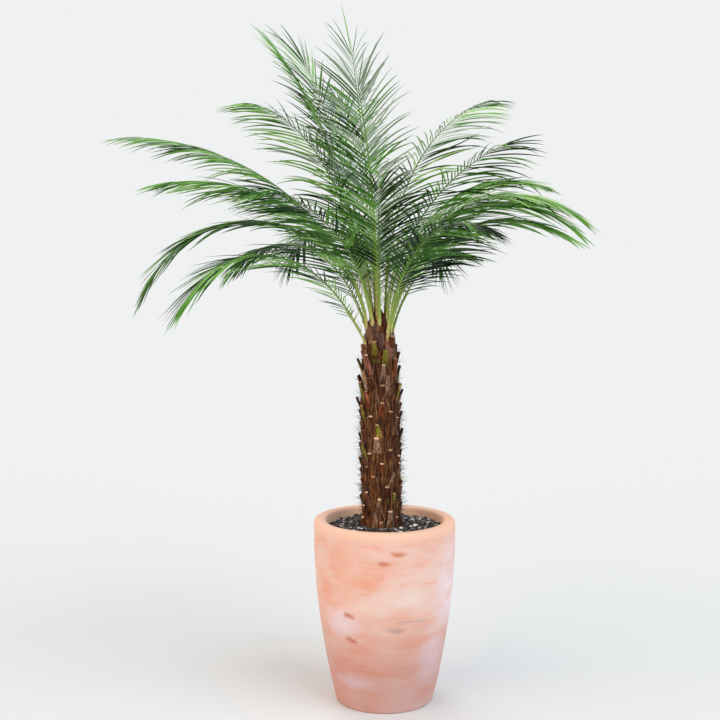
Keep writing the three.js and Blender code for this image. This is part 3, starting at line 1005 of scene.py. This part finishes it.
def build_heart(settings):
    """The fibrous cone between the stalks with the relief of the bark, wrapped in sheaths and
    set with threads."""
    rng = np.random.default_rng(SEED + 7)
    low = TRUNK_TOP + CLEARANCE
    height = np.linspace(low, HEART_TOP - 0.002, HEART_ROWS)[:, None]
    ridges = ridged_noise(rng, HEART_ROWS, TRUNK_COLUMNS, 5, 60)
    cords = ridged_noise(rng, HEART_ROWS, TRUNK_COLUMNS, 3, 22)
    relief = settings.relief * (0.3 * ridges + 0.5 * cords)
    radius = np.maximum(trunk_radius(height) - HEART_SINK + relief, 0.001)
    rings = trunk_place(ring_angles(TRUNK_COLUMNS), radius, height)
    poles = trunk_place(0.0, 0.0, low), trunk_place(0.0, 0.0, HEART_TOP)
    browns = (0.030, 0.010, 0.006), (0.130, 0.046, 0.022), (0.26, 0.13, 0.08)
    fibre = fibre_finish("heart_fibre", *browns)
    new_turned_piece("heart_fibre", rings, *poles, fibre, "fibre", "crown_heart")
    build_sheaths(rng)
    build_threads(rng)


def build_sheaths(rng):
    """Pointed sheaths round the heart in a spiral of golden-angle turns: a curved section
    carried up the cone, flaring with the square of the way, whose width falls with a power of
    the way to its torn point."""
    count = 19
    first_turn = 4.55
    steps = np.linspace(0, 1, 12)
    number = np.arange(count)
    turn = (number * GOLDEN_ANGLE + first_turn)[:, None]
    foot = np.interp(number, [0, count - 1], [0.722, 0.784])[:, None]
    up = foot + rng.uniform(0.036, 0.050, count)[:, None] * steps
    flare = rng.uniform(0.001, 0.0045, count)[:, None] * steps**2
    out = np.maximum(trunk_radius(up), 0.0045) + 0.0012 + flare
    wide = rng.uniform(0.010, 0.016, count) * np.interp(number, [0, count - 1], [1.0, 0.62])
    wide = wide[:, None] * (1 - steps**1.7) ** 0.8 + 0.0006
    thick = 0.0011 * np.interp(steps, [0, 1], [1.3, 0.35]) * np.ones((count, 1))
    heading = turn + rng.normal(0, 0.12, count)[:, None] * steps
    points = on_trunk(SHEATH_SECTION, heading, out, up, wide, thick)
    browns = (0.040, 0.010, 0.005), (0.230, 0.066, 0.026), (0.42, 0.17, 0.08)
    new_piece(
        "heart_sheaths", points, tube_faces(*points.shape[:3]),
        [fibre_finish("sheaths", *browns)], smooth=True,
    )


def build_threads(rng):
    """Dark threads that stand up between the stalks round the heart: each leaves it at a slant
    and spreads outwards with the square of the way."""
    count = 260
    steps = np.linspace(0, 1, 6)
    start = rng.uniform(TRUNK_TOP - 0.01, HEART_TOP - 0.022, count)[:, None]
    length = rng.uniform(0.010, 0.034, count)[:, None]
    height = start + length * steps
    angle = rng.uniform(0, TURN, count)[:, None] + rng.normal(0, 0.25, count)[:, None] * steps
    spread = rng.uniform(0.0, 0.007, count)[:, None] * steps**2
    radius = trunk_radius(start) + 0.001 - (height - start) * 0.25 + spread
    thin = rng.uniform(0.00022, 0.00042, count)[:, None] * np.interp(steps, [0, 1], [1, 0.2])
    points = on_trunk(
        ROUND_SECTION, angle, np.maximum(radius, 0.003), height, thin * 1.4, thin
    )
    browns = (0.040, 0.016, 0.012)
    finish = plain_finish("heart_threads", browns, 0.8, 700.0, (1, 1, 0.1), 0.0001)
    new_tubes("heart_threads", points, finish)


# ---- fronds

RIB_STEP = 0.005


def walk_rib(frond):
    """Walks along a frond's rib in steps of one length, to a little past its end.

    The slope goes from the foot's to the end's with a power of the share of the way, in the
    upright plane of the heading. Returns ways, points and the directions along, up and across.
    """
    heading, length = math.radians(frond.heading), frond.length * MM
    way = np.arange(0, length + 0.1, RIB_STEP)
    share = np.minimum(way / length, 1)
    slope = np.radians(frond.rise + (frond.end - frond.rise) * share**frond.bend)[:, None]
    level = np.array([math.cos(heading), math.sin(heading), 0.0])
    along = np.cos(slope) * level - np.sin(slope) * DOWN
    up = -np.sin(slope) * level - np.cos(slope) * DOWN
    start = trunk_place(math.radians(frond.seat), frond.radius * MM, frond.height * MM)
    walked = np.cumsum(along, axis=0) * RIB_STEP
    points = start + np.concatenate([np.zeros((1, 3)), walked[:-1]])
    return way, points, along, up, np.cross(up, along)


def along_rib(rib, way):
    """Points and directions of a rib at given ways, in straight steps between its samples."""
    ways = rib[0]
    return [np.stack([np.interp(way, ways, part[:, k]) for k in range(3)], -1) for part in rib[1:]]


STALK_SECTION = np.array([
    [-1, 0.25], [-0.82, -0.45], [-0.38, -0.92], [0.38, -0.92], [0.82, -0.45], [1, 0.25],
    [0.5, 0.72], [-0.5, 0.72],
])
STALK_TINTS = [
    ("stalk_husk", (0.070, 0.024, 0.012)),
    ("stalk_sheath", (0.185, 0.066, 0.026)),
    ("stalk_collar", (0.300, 0.165, 0.060)),
    ("stalk_foot", (0.580, 0.450, 0.150)),
    ("stalk_cream", (0.410, 0.450, 0.100)),
    ("stalk_yellow", (0.280, 0.395, 0.062)),
    ("stalk_lime", (0.180, 0.320, 0.042)),
    ("stalk_green", (0.110, 0.225, 0.032)),
    ("rib_green", (0.125, 0.225, 0.045)),
]
# The way up the stalk at which one tint goes over into the next.
STALK_BOUNDS = [-1.0, -0.003, 0.003, 0.012, 0.034, 0.070, 0.130, 0.280]
# How much further up the brown of the sheath climbs on each face of the section.
SHEATH_CLIMB = np.array([0.014, 0.007, 0.0, 0.007, 0.014, 0.014, 0.010, 0.014])
SHEATH_LENGTH = 0.044
SHEATH_STATIONS = 10
# Half the width and half the depth of a stalk of the usual size, from the sheath's foot to the
# rib's end.
STALK_HALF_WIDTHS = [
    0.0020, 0.0095, 0.0092, 0.0070, 0.0052, 0.0036, 0.0029, 0.0024, 0.0016, 0.0007,
]
STALK_HALF_DEPTHS = [0.0008, 0.0018, 0.0027, 0.0026, 0.0023, 0.0018, 0.0006]


def stalk_path(frond, way):
    """The middle of a stalk and its directions across and up: below its seat a sheath lies on
    the heart and climbs it at the seat's angle, and above it the stalk follows its rib, drawn
    in towards the sheath with the square of the way still to go."""
    seat, low = math.radians(frond.seat), way[:SHEATH_STATIONS]
    outward = np.array([math.cos(seat), math.sin(seat), 0.0])
    height = frond.height * MM + low
    proud = 0.0026 - 0.0050 * (low / SHEATH_LENGTH) ** 2
    radius = np.minimum(trunk_radius(height), frond.radius * MM + 0.014) + proud
    on_heart = trunk_place(seat, radius, height)
    centre, _, up, across = along_rib(walk_rib(frond), way[SHEATH_STATIONS:])
    left = (1 - np.minimum(way[SHEATH_STATIONS:] / 0.03, 1))[:, None] ** 2
    slide = (on_heart[-1] - centre[0]) * left
    spread = np.ones((SHEATH_STATIONS, 1))
    return (
        np.concatenate([on_heart, centre + 0.6 * slide * [1, 1, 0]]),
        np.concatenate([spread * np.cross(outward, DOWN), across]),
        np.concatenate([spread * -outward, up]),
    )


def bare_length(frond, settings):
    """How far up the stalk the leaflets start: lowest on the lowest seats."""
    return settings.petiole * np.interp(frond.height, [744, 754], [0.80, 1.16])


def build_stalks(settings):
    """The stalks and ribs: a channelled section carried along each rib to its end, out of a wide
    thin sheath that clasps the heart, its width falling in straight steps. The colour goes from
    a brown sheath over a cream foot to green in short overlapping tints, face by face."""
    rng = np.random.default_rng(SEED + 8)
    stations = 84
    points, tints = [], []
    for frond in FRONDS:
        length = frond.length * MM
        way = np.concatenate([
            np.linspace(-SHEATH_LENGTH, -0.002, SHEATH_STATIONS),
            np.linspace(0, 1, stations - SHEATH_STATIONS) ** 1.25 * length,
        ])
        centre, across, up = stalk_path(frond, way)
        size = rng.uniform(0.9, 1.1)
        knots = [-SHEATH_LENGTH, -0.024, -0.010, 0, 0.015, 0.045, settings.petiole]
        knots += [0.3 * length, 0.75 * length, length]
        half_width = np.interp(way, knots, STALK_HALF_WIDTHS) * size
        slender = np.interp(frond.radius, [12, 24], [1.05, 0.74])
        half_width = half_width * np.interp(way, [0, 0.03], [1, slender])
        knots = [-SHEATH_LENGTH, -0.012, 0, 0.03, settings.petiole, 0.4 * length, length]
        half_depth = np.interp(way, knots, STALK_HALF_DEPTHS) * size
        points.append(carried(
            STALK_SECTION, centre[None], across[None], up[None], half_width[None], half_depth[None]
        )[0])
        slow = 0.45 if frond.tint == SILVERY else 1.0
        shade = way[:-1] * np.where(way[:-1] > 0, slow * rng.uniform(0.6, 1.3), 1)
        shade = shade[:, None]
        uneven = rng.uniform(-1, 1, (stations - 1, len(STALK_SECTION)))
        ragged = shade + uneven * (0.003 + 0.18 * np.abs(shade))
        ragged -= SHEATH_CLIMB * (shade < 0.03)
        husk = (rng.random(len(STALK_SECTION)) < 0.45) & (ragged < STALK_BOUNDS[1])
        tints.append(np.where(husk, 0, np.searchsorted(STALK_BOUNDS, ragged)))
    materials = [plain_finish(*row, 0.42, 500.0, (1, 1, 0.15)) for row in STALK_TINTS]
    points = np.array(points)
    new_piece(
        "frond_stalks", points, tube_faces(*points.shape[:3]), materials,
        kinds=[np.array(tints).ravel(), 0, len(STALK_TINTS) - 1], smooth=True,
        replaces=FROND_NODES,
    )


def build_spines(settings):
    """The spines along both edges of each bare stalk: thin cones that point outwards and
    forwards and grow longer towards the leaflets."""
    rng = np.random.default_rng(SEED + 9)
    per_side = 8
    steps = np.linspace(0, 1, 5)
    outline = np.interp(steps, [0, 0.3, 1], [0.0009, 0.0007, 0.0001])
    points = []
    for frond in FRONDS:
        bare = bare_length(frond, settings)
        way = np.tile(np.linspace(0.4 * bare, bare + 0.004, per_side), 2)
        way = way + rng.normal(0, 0.003, len(way))
        side = np.repeat([-1.0, 1.0], per_side)[:, None]
        centre, along, up, across = along_rib(walk_rib(frond), way)
        length = np.interp(way / bare, [0.4, 1], [0.010, 0.034]) * rng.uniform(0.7, 1.3, len(way))
        forward = np.radians(rng.normal(38, 7, len(way)))[:, None]
        heading = np.cos(forward) * along + np.sin(forward) * (side * across + 0.35 * up)
        foot = (centre + side * across * 0.0028)[:, None]
        path = foot + unit(heading)[:, None] * (length[:, None] * steps)[..., None]
        direction = unit(np.gradient(path, axis=1))
        sideways = unit(np.cross(direction, up[:, None]))
        depth = np.cross(direction, sideways)
        thin = outline * np.ones((len(way), 1))
        points.append(carried(ROUND_SECTION, path, sideways, depth, thin, thin))
    finish = plain_finish("spines", (0.330, 0.340, 0.110), 0.45, 700.0, depth=0.0001)
    new_tubes("stalk_spines", np.concatenate(points), finish)


LEAFLET_SECTION = np.array([[-1, 0.34], [0, -0.16], [1, 0.34], [0, 0.08]])
LEAFLET_TINTS = [
    ("leaflets_shade", (0.006, 0.020, 0.004)),
    ("leaflets_deep", (0.013, 0.048, 0.006)),
    ("leaflets_dark", (0.038, 0.120, 0.016)),
    ("leaflets_mid", (0.098, 0.265, 0.036)),
    ("leaflets_fresh", (0.185, 0.400, 0.076)),
    ("leaflets_light", (0.320, 0.545, 0.175)),
    ("leaflets_silver", (0.225, 0.305, 0.205)),
    ("leaflets_pale", (0.400, 0.480, 0.370)),
]
# For each frond tint, the chance of each leaflet tint. The last row is for the left sides of the
# silvery spears.
TINT_CHANCES = np.array([
    [0.62, 0.28, 0.10, 0.00, 0.00, 0.00, 0.00, 0.00],
    [0.28, 0.32, 0.24, 0.13, 0.03, 0.00, 0.00, 0.00],
    [0.14, 0.21, 0.25, 0.24, 0.13, 0.01, 0.02, 0.00],
    [0.01, 0.12, 0.20, 0.27, 0.23, 0.10, 0.05, 0.02],
    [0.00, 0.04, 0.11, 0.24, 0.34, 0.23, 0.02, 0.02],
    [0.00, 0.01, 0.06, 0.07, 0.00, 0.00, 0.43, 0.43],
    [0.03, 0.12, 0.21, 0.12, 0.02, 0.00, 0.36, 0.14],
])
# How long the leaflets are at these shares of the leafy rib, as shares of the longest, on an
# arching, a rising and a hanging frond.
SWELL_SHARES = [0, 0.12, 0.3, 0.55, 0.8, 1]
LEAFLET_SWELLS = [
    [0.40, 0.66, 0.92, 1, 0.86, 0.55],
    [0.46, 0.72, 0.88, 0.94, 0.90, 0.86],
    [0.24, 0.42, 0.78, 1, 0.90, 0.58],
]
# Half a leaflet's width at these shares of its length, as a share of the widest.
OUTLINE_SHARES = [0, 0.06, 0.2, 0.4, 0.65, 0.85, 0.96, 1]
LEAFLET_OUTLINE = [0.45, 0.7, 0.95, 1, 0.8, 0.45, 0.16, 0.03]
# For fronds that end at these slopes, the angle between rib and leaflet at the rib's foot, at 0.3
# and 0.75 of it and at its tip, and the droop.
FROND_ENDS = [-50, 3, 11, 20, 58, 68]
ANGLE_SHARES = [0, 0.3, 0.75, 1]
LEAFLET_ANGLES = [
    [50, 50, 58, 58, 52, 68],
    [34, 39, 50, 51, 42, 62],
    [25, 29, 43, 45, 34, 53],
    [10, 12, 19, 21, 18, 38],
]
LEAFLET_DROOPS = [0.30, 0.44, 0.56, 0.56, 0.42, 0.48]


def frond_leaflets(frond, settings, rng):
    """The leaflets of one frond, as points of the shape (leaflets, stations, corners, 3).

    They stand on both sides of the rib at even steps, with three more at its end. Their length
    follows the knots of an arching frond, blended with those of a rising or a hanging one by
    the slope at the frond's end. Each sets off forwards at an angle that closes towards the tip.
    It is lower where it points the same way along X as its frond, and higher, shorter and more
    drooping where it points back. Its direction is pulled down by gravity with a power of the
    way, and a few are kinked. Across, each lies in the plane of its direction and the rib.
    """
    end, length, bare = frond.end, frond.length * MM, bare_length(frond, settings)
    spacing = settings.spacing * np.interp(end, [10, 20, 58, 75], [0.88, 0.95, 0.95, 0.80])
    count = int((length - bare) / spacing)
    base = bare + (np.arange(count) + 0.5) * (length - bare) / count
    side = np.repeat([-1.0, 1.0], count)
    way = np.tile(base, 2) + side * settings.spacing / 4 + rng.normal(0, 0.0009, 2 * count)
    way = np.append(np.minimum(way, length), [length] * 3)
    side = np.append(side, [-1.0, 1.0, 1.0])
    share = (way - bare) / (length - bare)
    total = len(way)
    centre, along, up, across = along_rib(walk_rib(frond), way)
    outwards = side[:, None] * across

    rising, hanging = np.clip((end - 20) / 40, 0, 1), np.clip(-end / 40 - 0.3, 0, 1)
    arching_swell, rising_swell, hanging_swell = (
        np.interp(share, SWELL_SHARES, swell) for swell in LEAFLET_SWELLS
    )
    swell = arching_swell + (rising_swell - arching_swell) * rising
    swell = swell + (hanging_swell - arching_swell) * hanging
    reach = settings.leaflet_length * swell * (1 + 0.06 * rng.normal(size=total))
    reach *= np.interp(end, [60, 80], [1.0, 0.82])
    reach[-3:] = np.array([0.58, 0.60, 0.66 + 0.12 * rising]) * settings.leaflet_length

    opening = [np.interp(end, FROND_ENDS, row) for row in LEAFLET_ANGLES]
    forward = np.interp(share, ANGLE_SHARES, opening) + 3 * rng.normal(size=total)
    forward[-3:] = opening[3] * np.array([0.64, 0.60, 0.08])
    forward = np.radians(forward)[:, None]
    even = np.interp(end, [40, 75], [1.0, 0.5])
    lift = np.interp(end, [0, 14, 50], [-14, -8, -2]) + 6 * even * rng.normal(size=total)
    # Above 0 where a leaflet points the same way along X as its frond, and below 0 where it points
    # the other way. It is 1 or -1 on level fronds half way between the X and the Y axis.
    turned_to = 2 * side * across[:, 0] * math.cos(math.radians(frond.heading))
    lift -= np.interp(end, [-50, -15, 12, 20, 60], [4, 13, 15, 13, 0]) * turned_to
    lift = np.radians(lift)[:, None]
    curl = np.clip(-turned_to, 0, 1) * np.interp(end, [-20, 10, 25, 50], [0, 1, 1, 0])
    reach *= 1 - 0.30 * curl

    start = np.cos(forward) * along
    start = start + np.sin(forward) * (np.cos(lift) * outwards + np.sin(lift) * up)
    steps = np.linspace(0, 1, 12)
    droop = np.interp(end, FROND_ENDS, LEAFLET_DROOPS) * settings.droop
    droop = droop * (1 + 0.25 * rng.normal(size=total))
    droop = droop * np.interp(reach, [0.05, 0.15], [0.7, 1.0]) * (1 + 0.7 * curl)
    direction = start[:, None] + (droop[:, None] * steps**1.3)[..., None] * DOWN
    kinked = (rng.random(total) < 0.04 * even)[:, None, None]
    kink = rng.normal(0, 0.8, (total, 1, 3))
    direction = unit(direction + kinked * steps[:, None] ** 3 * kink)
    step = (reach / (len(steps) - 1))[:, None, None]
    walked = np.cumsum((direction[:, 1:] + direction[:, :-1]) / 2 * step, axis=1)
    root = (centre + outwards * 0.0014 - up * 0.0006)[:, None]
    path = root + np.concatenate([np.zeros((total, 1, 3)), walked], axis=1)

    def square_to(vectors):
        """The part of vectors that is square to the leaflets' directions."""
        return vectors - (vectors * direction).sum(-1, keepdims=True) * direction

    wide = -side[:, None, None] * unit(square_to(along[:, None]) + 0.02 * across[:, None])
    wide = unit(square_to(wide))
    half = settings.leaflet_width / 2 * np.sqrt(reach / settings.leaflet_length)
    half = half * rng.uniform(0.85, 1.12, total)
    half *= np.interp(end, [-10, 2, 20, 58, 75], [1.28, 1.14, 1.12, 1.20, 0.92])
    half = half[:, None] * np.interp(steps, OUTLINE_SHARES, LEAFLET_OUTLINE)
    return carried(LEAFLET_SECTION, path, wide, np.cross(direction, wide), half, half)


def build_leaflets(settings):
    """All the leaflets, dealt out to one piece for each tint. Neighbours in a spray of three
    share a draw of their frond's tint chances, and the two sides of a frond draw apart."""
    rng = np.random.default_rng(SEED + 10)
    points, tints = [], []
    for frond in FRONDS:
        leaflets = frond_leaflets(frond, settings, rng)
        total = len(leaflets)
        shape = 2, total // 3 + 1
        left, right = rng.choice(len(LEAFLET_TINTS), shape, p=TINT_CHANCES[frond.tint])
        if frond.tint == SILVERY:
            left = rng.choice(len(LEAFLET_TINTS), len(left), p=TINT_CHANCES[-1])
        left, right = np.repeat(left, 3)[:total], np.repeat(right, 3)[:total]
        first_side = np.arange(total) < total // 2
        on_left = first_side == (math.sin(math.radians(frond.heading)) < 0)
        points.append(leaflets)
        tints.append(np.where(on_left, left, right))
    points, tints = np.concatenate(points), np.concatenate(tints)
    for number, (name, colour) in enumerate(LEAFLET_TINTS):
        finish = plain_finish(name, colour, 0.44, 900.0, depth=0.00012, specular=0.11)
        new_tubes(name, points[tints == number], finish)


# ---- stage


FLOOR_HALF = 60.0
SENSOR_WIDTH = 36.0
SKY_LIGHT = (0.94, 0.97, 1.0)
# Each sun: a point in the direction that it shines from, its colour and its spread, which is the
# angle that the light fills and softens its shadows.
SUNS = {
    "key": ((2.3, -1.8, 2.2), (0.80, 0.92, 1.0), 54),
    "warm_fill": ((-2.2, -1.5, 1.4), (1.0, 0.78, 0.58), 60),
    "back": ((-0.8, 2.2, 2.2), (1.0, 1.0, 0.97), 40),
}


def place_in_scene(name, data):
    """An object of a mesh, a light or a camera, linked to the scene."""
    placed = bpy.data.objects.new(name, data)
    bpy.context.scene.collection.objects.link(placed)
    return placed


def add_sun(name, strength, towards, colour, spread):
    """An even light from far away, turned so that it shines from a point to the origin."""
    light = bpy.data.lights.new(name, "SUN")
    light.energy = strength
    light.color = colour
    light.angle = math.radians(spread)
    lamp = place_in_scene(name, light)
    lamp.location = towards
    lamp.rotation_euler = Vector(towards).to_track_quat("Z", "Y").to_euler()


def build_sky(visible, strength):
    """A plain backdrop in two strengths: one that is seen and one that lights the palm."""
    world = bpy.data.worlds.new("studio")
    world.use_nodes = True
    tree = world.node_tree
    tree.nodes.clear()
    seen = add_node(tree, "ShaderNodeBackground", {"Color": opaque(visible)})
    light = {"Color": opaque(SKY_LIGHT), "Strength": strength}
    lighting = add_node(tree, "ShaderNodeBackground", light)
    choice = add_node(tree, "ShaderNodeMixShader", {
        "Fac": add_node(tree, "ShaderNodeLightPath", {}).outputs["Is Camera Ray"],
        1: lighting.outputs["Background"],
        2: seen.outputs["Background"],
    })
    add_node(tree, "ShaderNodeOutputWorld", {"Surface": choice.outputs["Shader"]})
    bpy.context.scene.world = world


def build_floor(colour):
    """A square sheet of four corners at the height of the pot's underside."""
    mesh = bpy.data.meshes.new("floor")
    corners = [(x * FLOOR_HALF, y * FLOOR_HALF, 0) for x, y in [(-1, -1), (1, -1), (1, 1), (-1, 1)]]
    mesh.from_pydata(corners, [], [(0, 1, 2, 3)])
    finish = Finish("floor", 0.9, 0.0)
    finish.give("Base Color", opaque(colour))
    mesh.materials.append(finish.material)
    place_in_scene("floor", mesh)


def build_camera(settings):
    """A camera in front of the palm, tilted down a little, with its frame shifted."""
    camera = bpy.data.cameras.new("camera")
    camera.sensor_width = SENSOR_WIDTH
    camera.lens = settings.lens
    camera.shift_y = settings.camera_shift
    eye = place_in_scene("camera", camera)
    eye.location = (settings.camera_x, -settings.camera_distance, settings.camera_height)
    eye.rotation_euler = (math.pi / 2 - settings.camera_pitch, 0, 0)
    bpy.context.scene.camera = eye


def build_stage(settings):
    """The backdrop, the floor, the camera and the suns, with colours shown as they are."""
    bpy.context.scene.view_settings.view_transform = "Standard"
    build_sky(settings.backdrop, settings.sky)
    build_floor(settings.floor)
    build_camera(settings)
    for name, sun in SUNS.items():
        add_sun(name, getattr(settings, name), *sun)


# ---- operators


class PALM_OT_stage(bpy.types.Operator):
    """Adds the floor, the lights and the camera"""

    bl_idname = "palm.stage"
    bl_label = "Stage"

    def execute(self, context):
        build_stage(context.scene.palm_stage)
        return {"FINISHED"}


class PALM_OT_pot(bpy.types.Operator):
    """Turns the terracotta pot"""

    bl_idname = "palm.pot"
    bl_label = "Pot"

    def execute(self, context):
        build_pot(context.scene.palm_pot)
        return {"FINISHED"}


class PALM_OT_soil(bpy.types.Operator):
    """Fills the pot with soil, bark chips and grit"""

    bl_idname = "palm.soil"
    bl_label = "Soil"

    def execute(self, context):
        build_soil(context.scene.palm_soil)
        return {"FINISHED"}


class PALM_OT_trunk(bpy.types.Operator):
    """Makes the trunk with the relief of its bark"""

    bl_idname = "palm.trunk"
    bl_label = "Trunk"

    def execute(self, context):
        build_trunk(context.scene.palm_trunk)
        return {"FINISHED"}


class PALM_OT_stubs(bpy.types.Operator):
    """Sets the stubs of the cut stalks in a spiral round the trunk"""

    bl_idname = "palm.stubs"
    bl_label = "Stalk stubs"

    def execute(self, context):
        build_stubs(context.scene.palm_trunk)
        return {"FINISHED"}


class PALM_OT_fibres(bpy.types.Operator):
    """Adds the loose fibres and the stiff hairs of the trunk"""

    bl_idname = "palm.fibres"
    bl_label = "Fibres and hairs"

    def execute(self, context):
        build_strands(context.scene.palm_trunk)
        build_hairs(context.scene.palm_trunk)
        return {"FINISHED"}


class PALM_OT_heart(bpy.types.Operator):
    """Makes the fibrous heart of the crown and its sheaths"""

    bl_idname = "palm.heart"
    bl_label = "Heart of the crown"

    def execute(self, context):
        build_heart(context.scene.palm_trunk)
        return {"FINISHED"}


class PALM_OT_stalks(bpy.types.Operator):
    """Makes the stalks and ribs of the fronds and their spines"""

    bl_idname = "palm.stalks"
    bl_label = "Stalks and spines"

    def execute(self, context):
        build_stalks(context.scene.palm_crown)
        build_spines(context.scene.palm_crown)
        return {"FINISHED"}


class PALM_OT_leaflets(bpy.types.Operator):
    """Sets the leaflets on both sides of every rib"""

    bl_idname = "palm.leaflets"
    bl_label = "Leaflets"

    def execute(self, context):
        build_leaflets(context.scene.palm_crown)
        return {"FINISHED"}


OPERATORS = [
    PALM_OT_stage, PALM_OT_pot, PALM_OT_soil, PALM_OT_trunk, PALM_OT_stubs, PALM_OT_fibres,
    PALM_OT_heart, PALM_OT_stalks, PALM_OT_leaflets,
]
SETTINGS = {
    "palm_stage": PalmStageSettings,
    "palm_pot": PalmPotSettings,
    "palm_soil": PalmSoilSettings,
    "palm_trunk": PalmTrunkSettings,
    "palm_crown": PalmCrownSettings,
}


class VIEW3D_PT_palm(bpy.types.Panel):
    """Lists the pieces of the palm in the order in which they are built"""

    bl_label = "Potted palm"
    bl_space_type = "VIEW_3D"
    bl_region_type = "UI"
    bl_category = "Palm"

    def draw(self, context):
        for operator in OPERATORS:
            self.layout.operator(operator.bl_idname)
        for name, group in SETTINGS.items():
            box = self.layout.box()
            for setting in group.__annotations__:
                box.prop(getattr(context.scene, name), setting)


def register():
    for group in (*SETTINGS.values(), *OPERATORS, VIEW3D_PT_palm):
        bpy.utils.register_class(group)
    for name, group in SETTINGS.items():
        setattr(bpy.types.Scene, name, PointerProperty(type=group))


def unregister():
    for name in SETTINGS:
        delattr(bpy.types.Scene, name)
    for group in reversed((*SETTINGS.values(), *OPERATORS, VIEW3D_PT_palm)):
        bpy.utils.unregister_class(group)


def main():
    """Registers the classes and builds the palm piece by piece."""
    register()
    bpy.ops.palm.stage()
    bpy.ops.palm.pot()
    bpy.ops.palm.soil()
    bpy.ops.palm.trunk()
    bpy.ops.palm.stubs()
    bpy.ops.palm.fibres()
    bpy.ops.palm.heart()
    bpy.ops.palm.stalks()
    bpy.ops.palm.leaflets()
    bpy.context.view_layer.update()


if __name__ == "__main__":
    main()
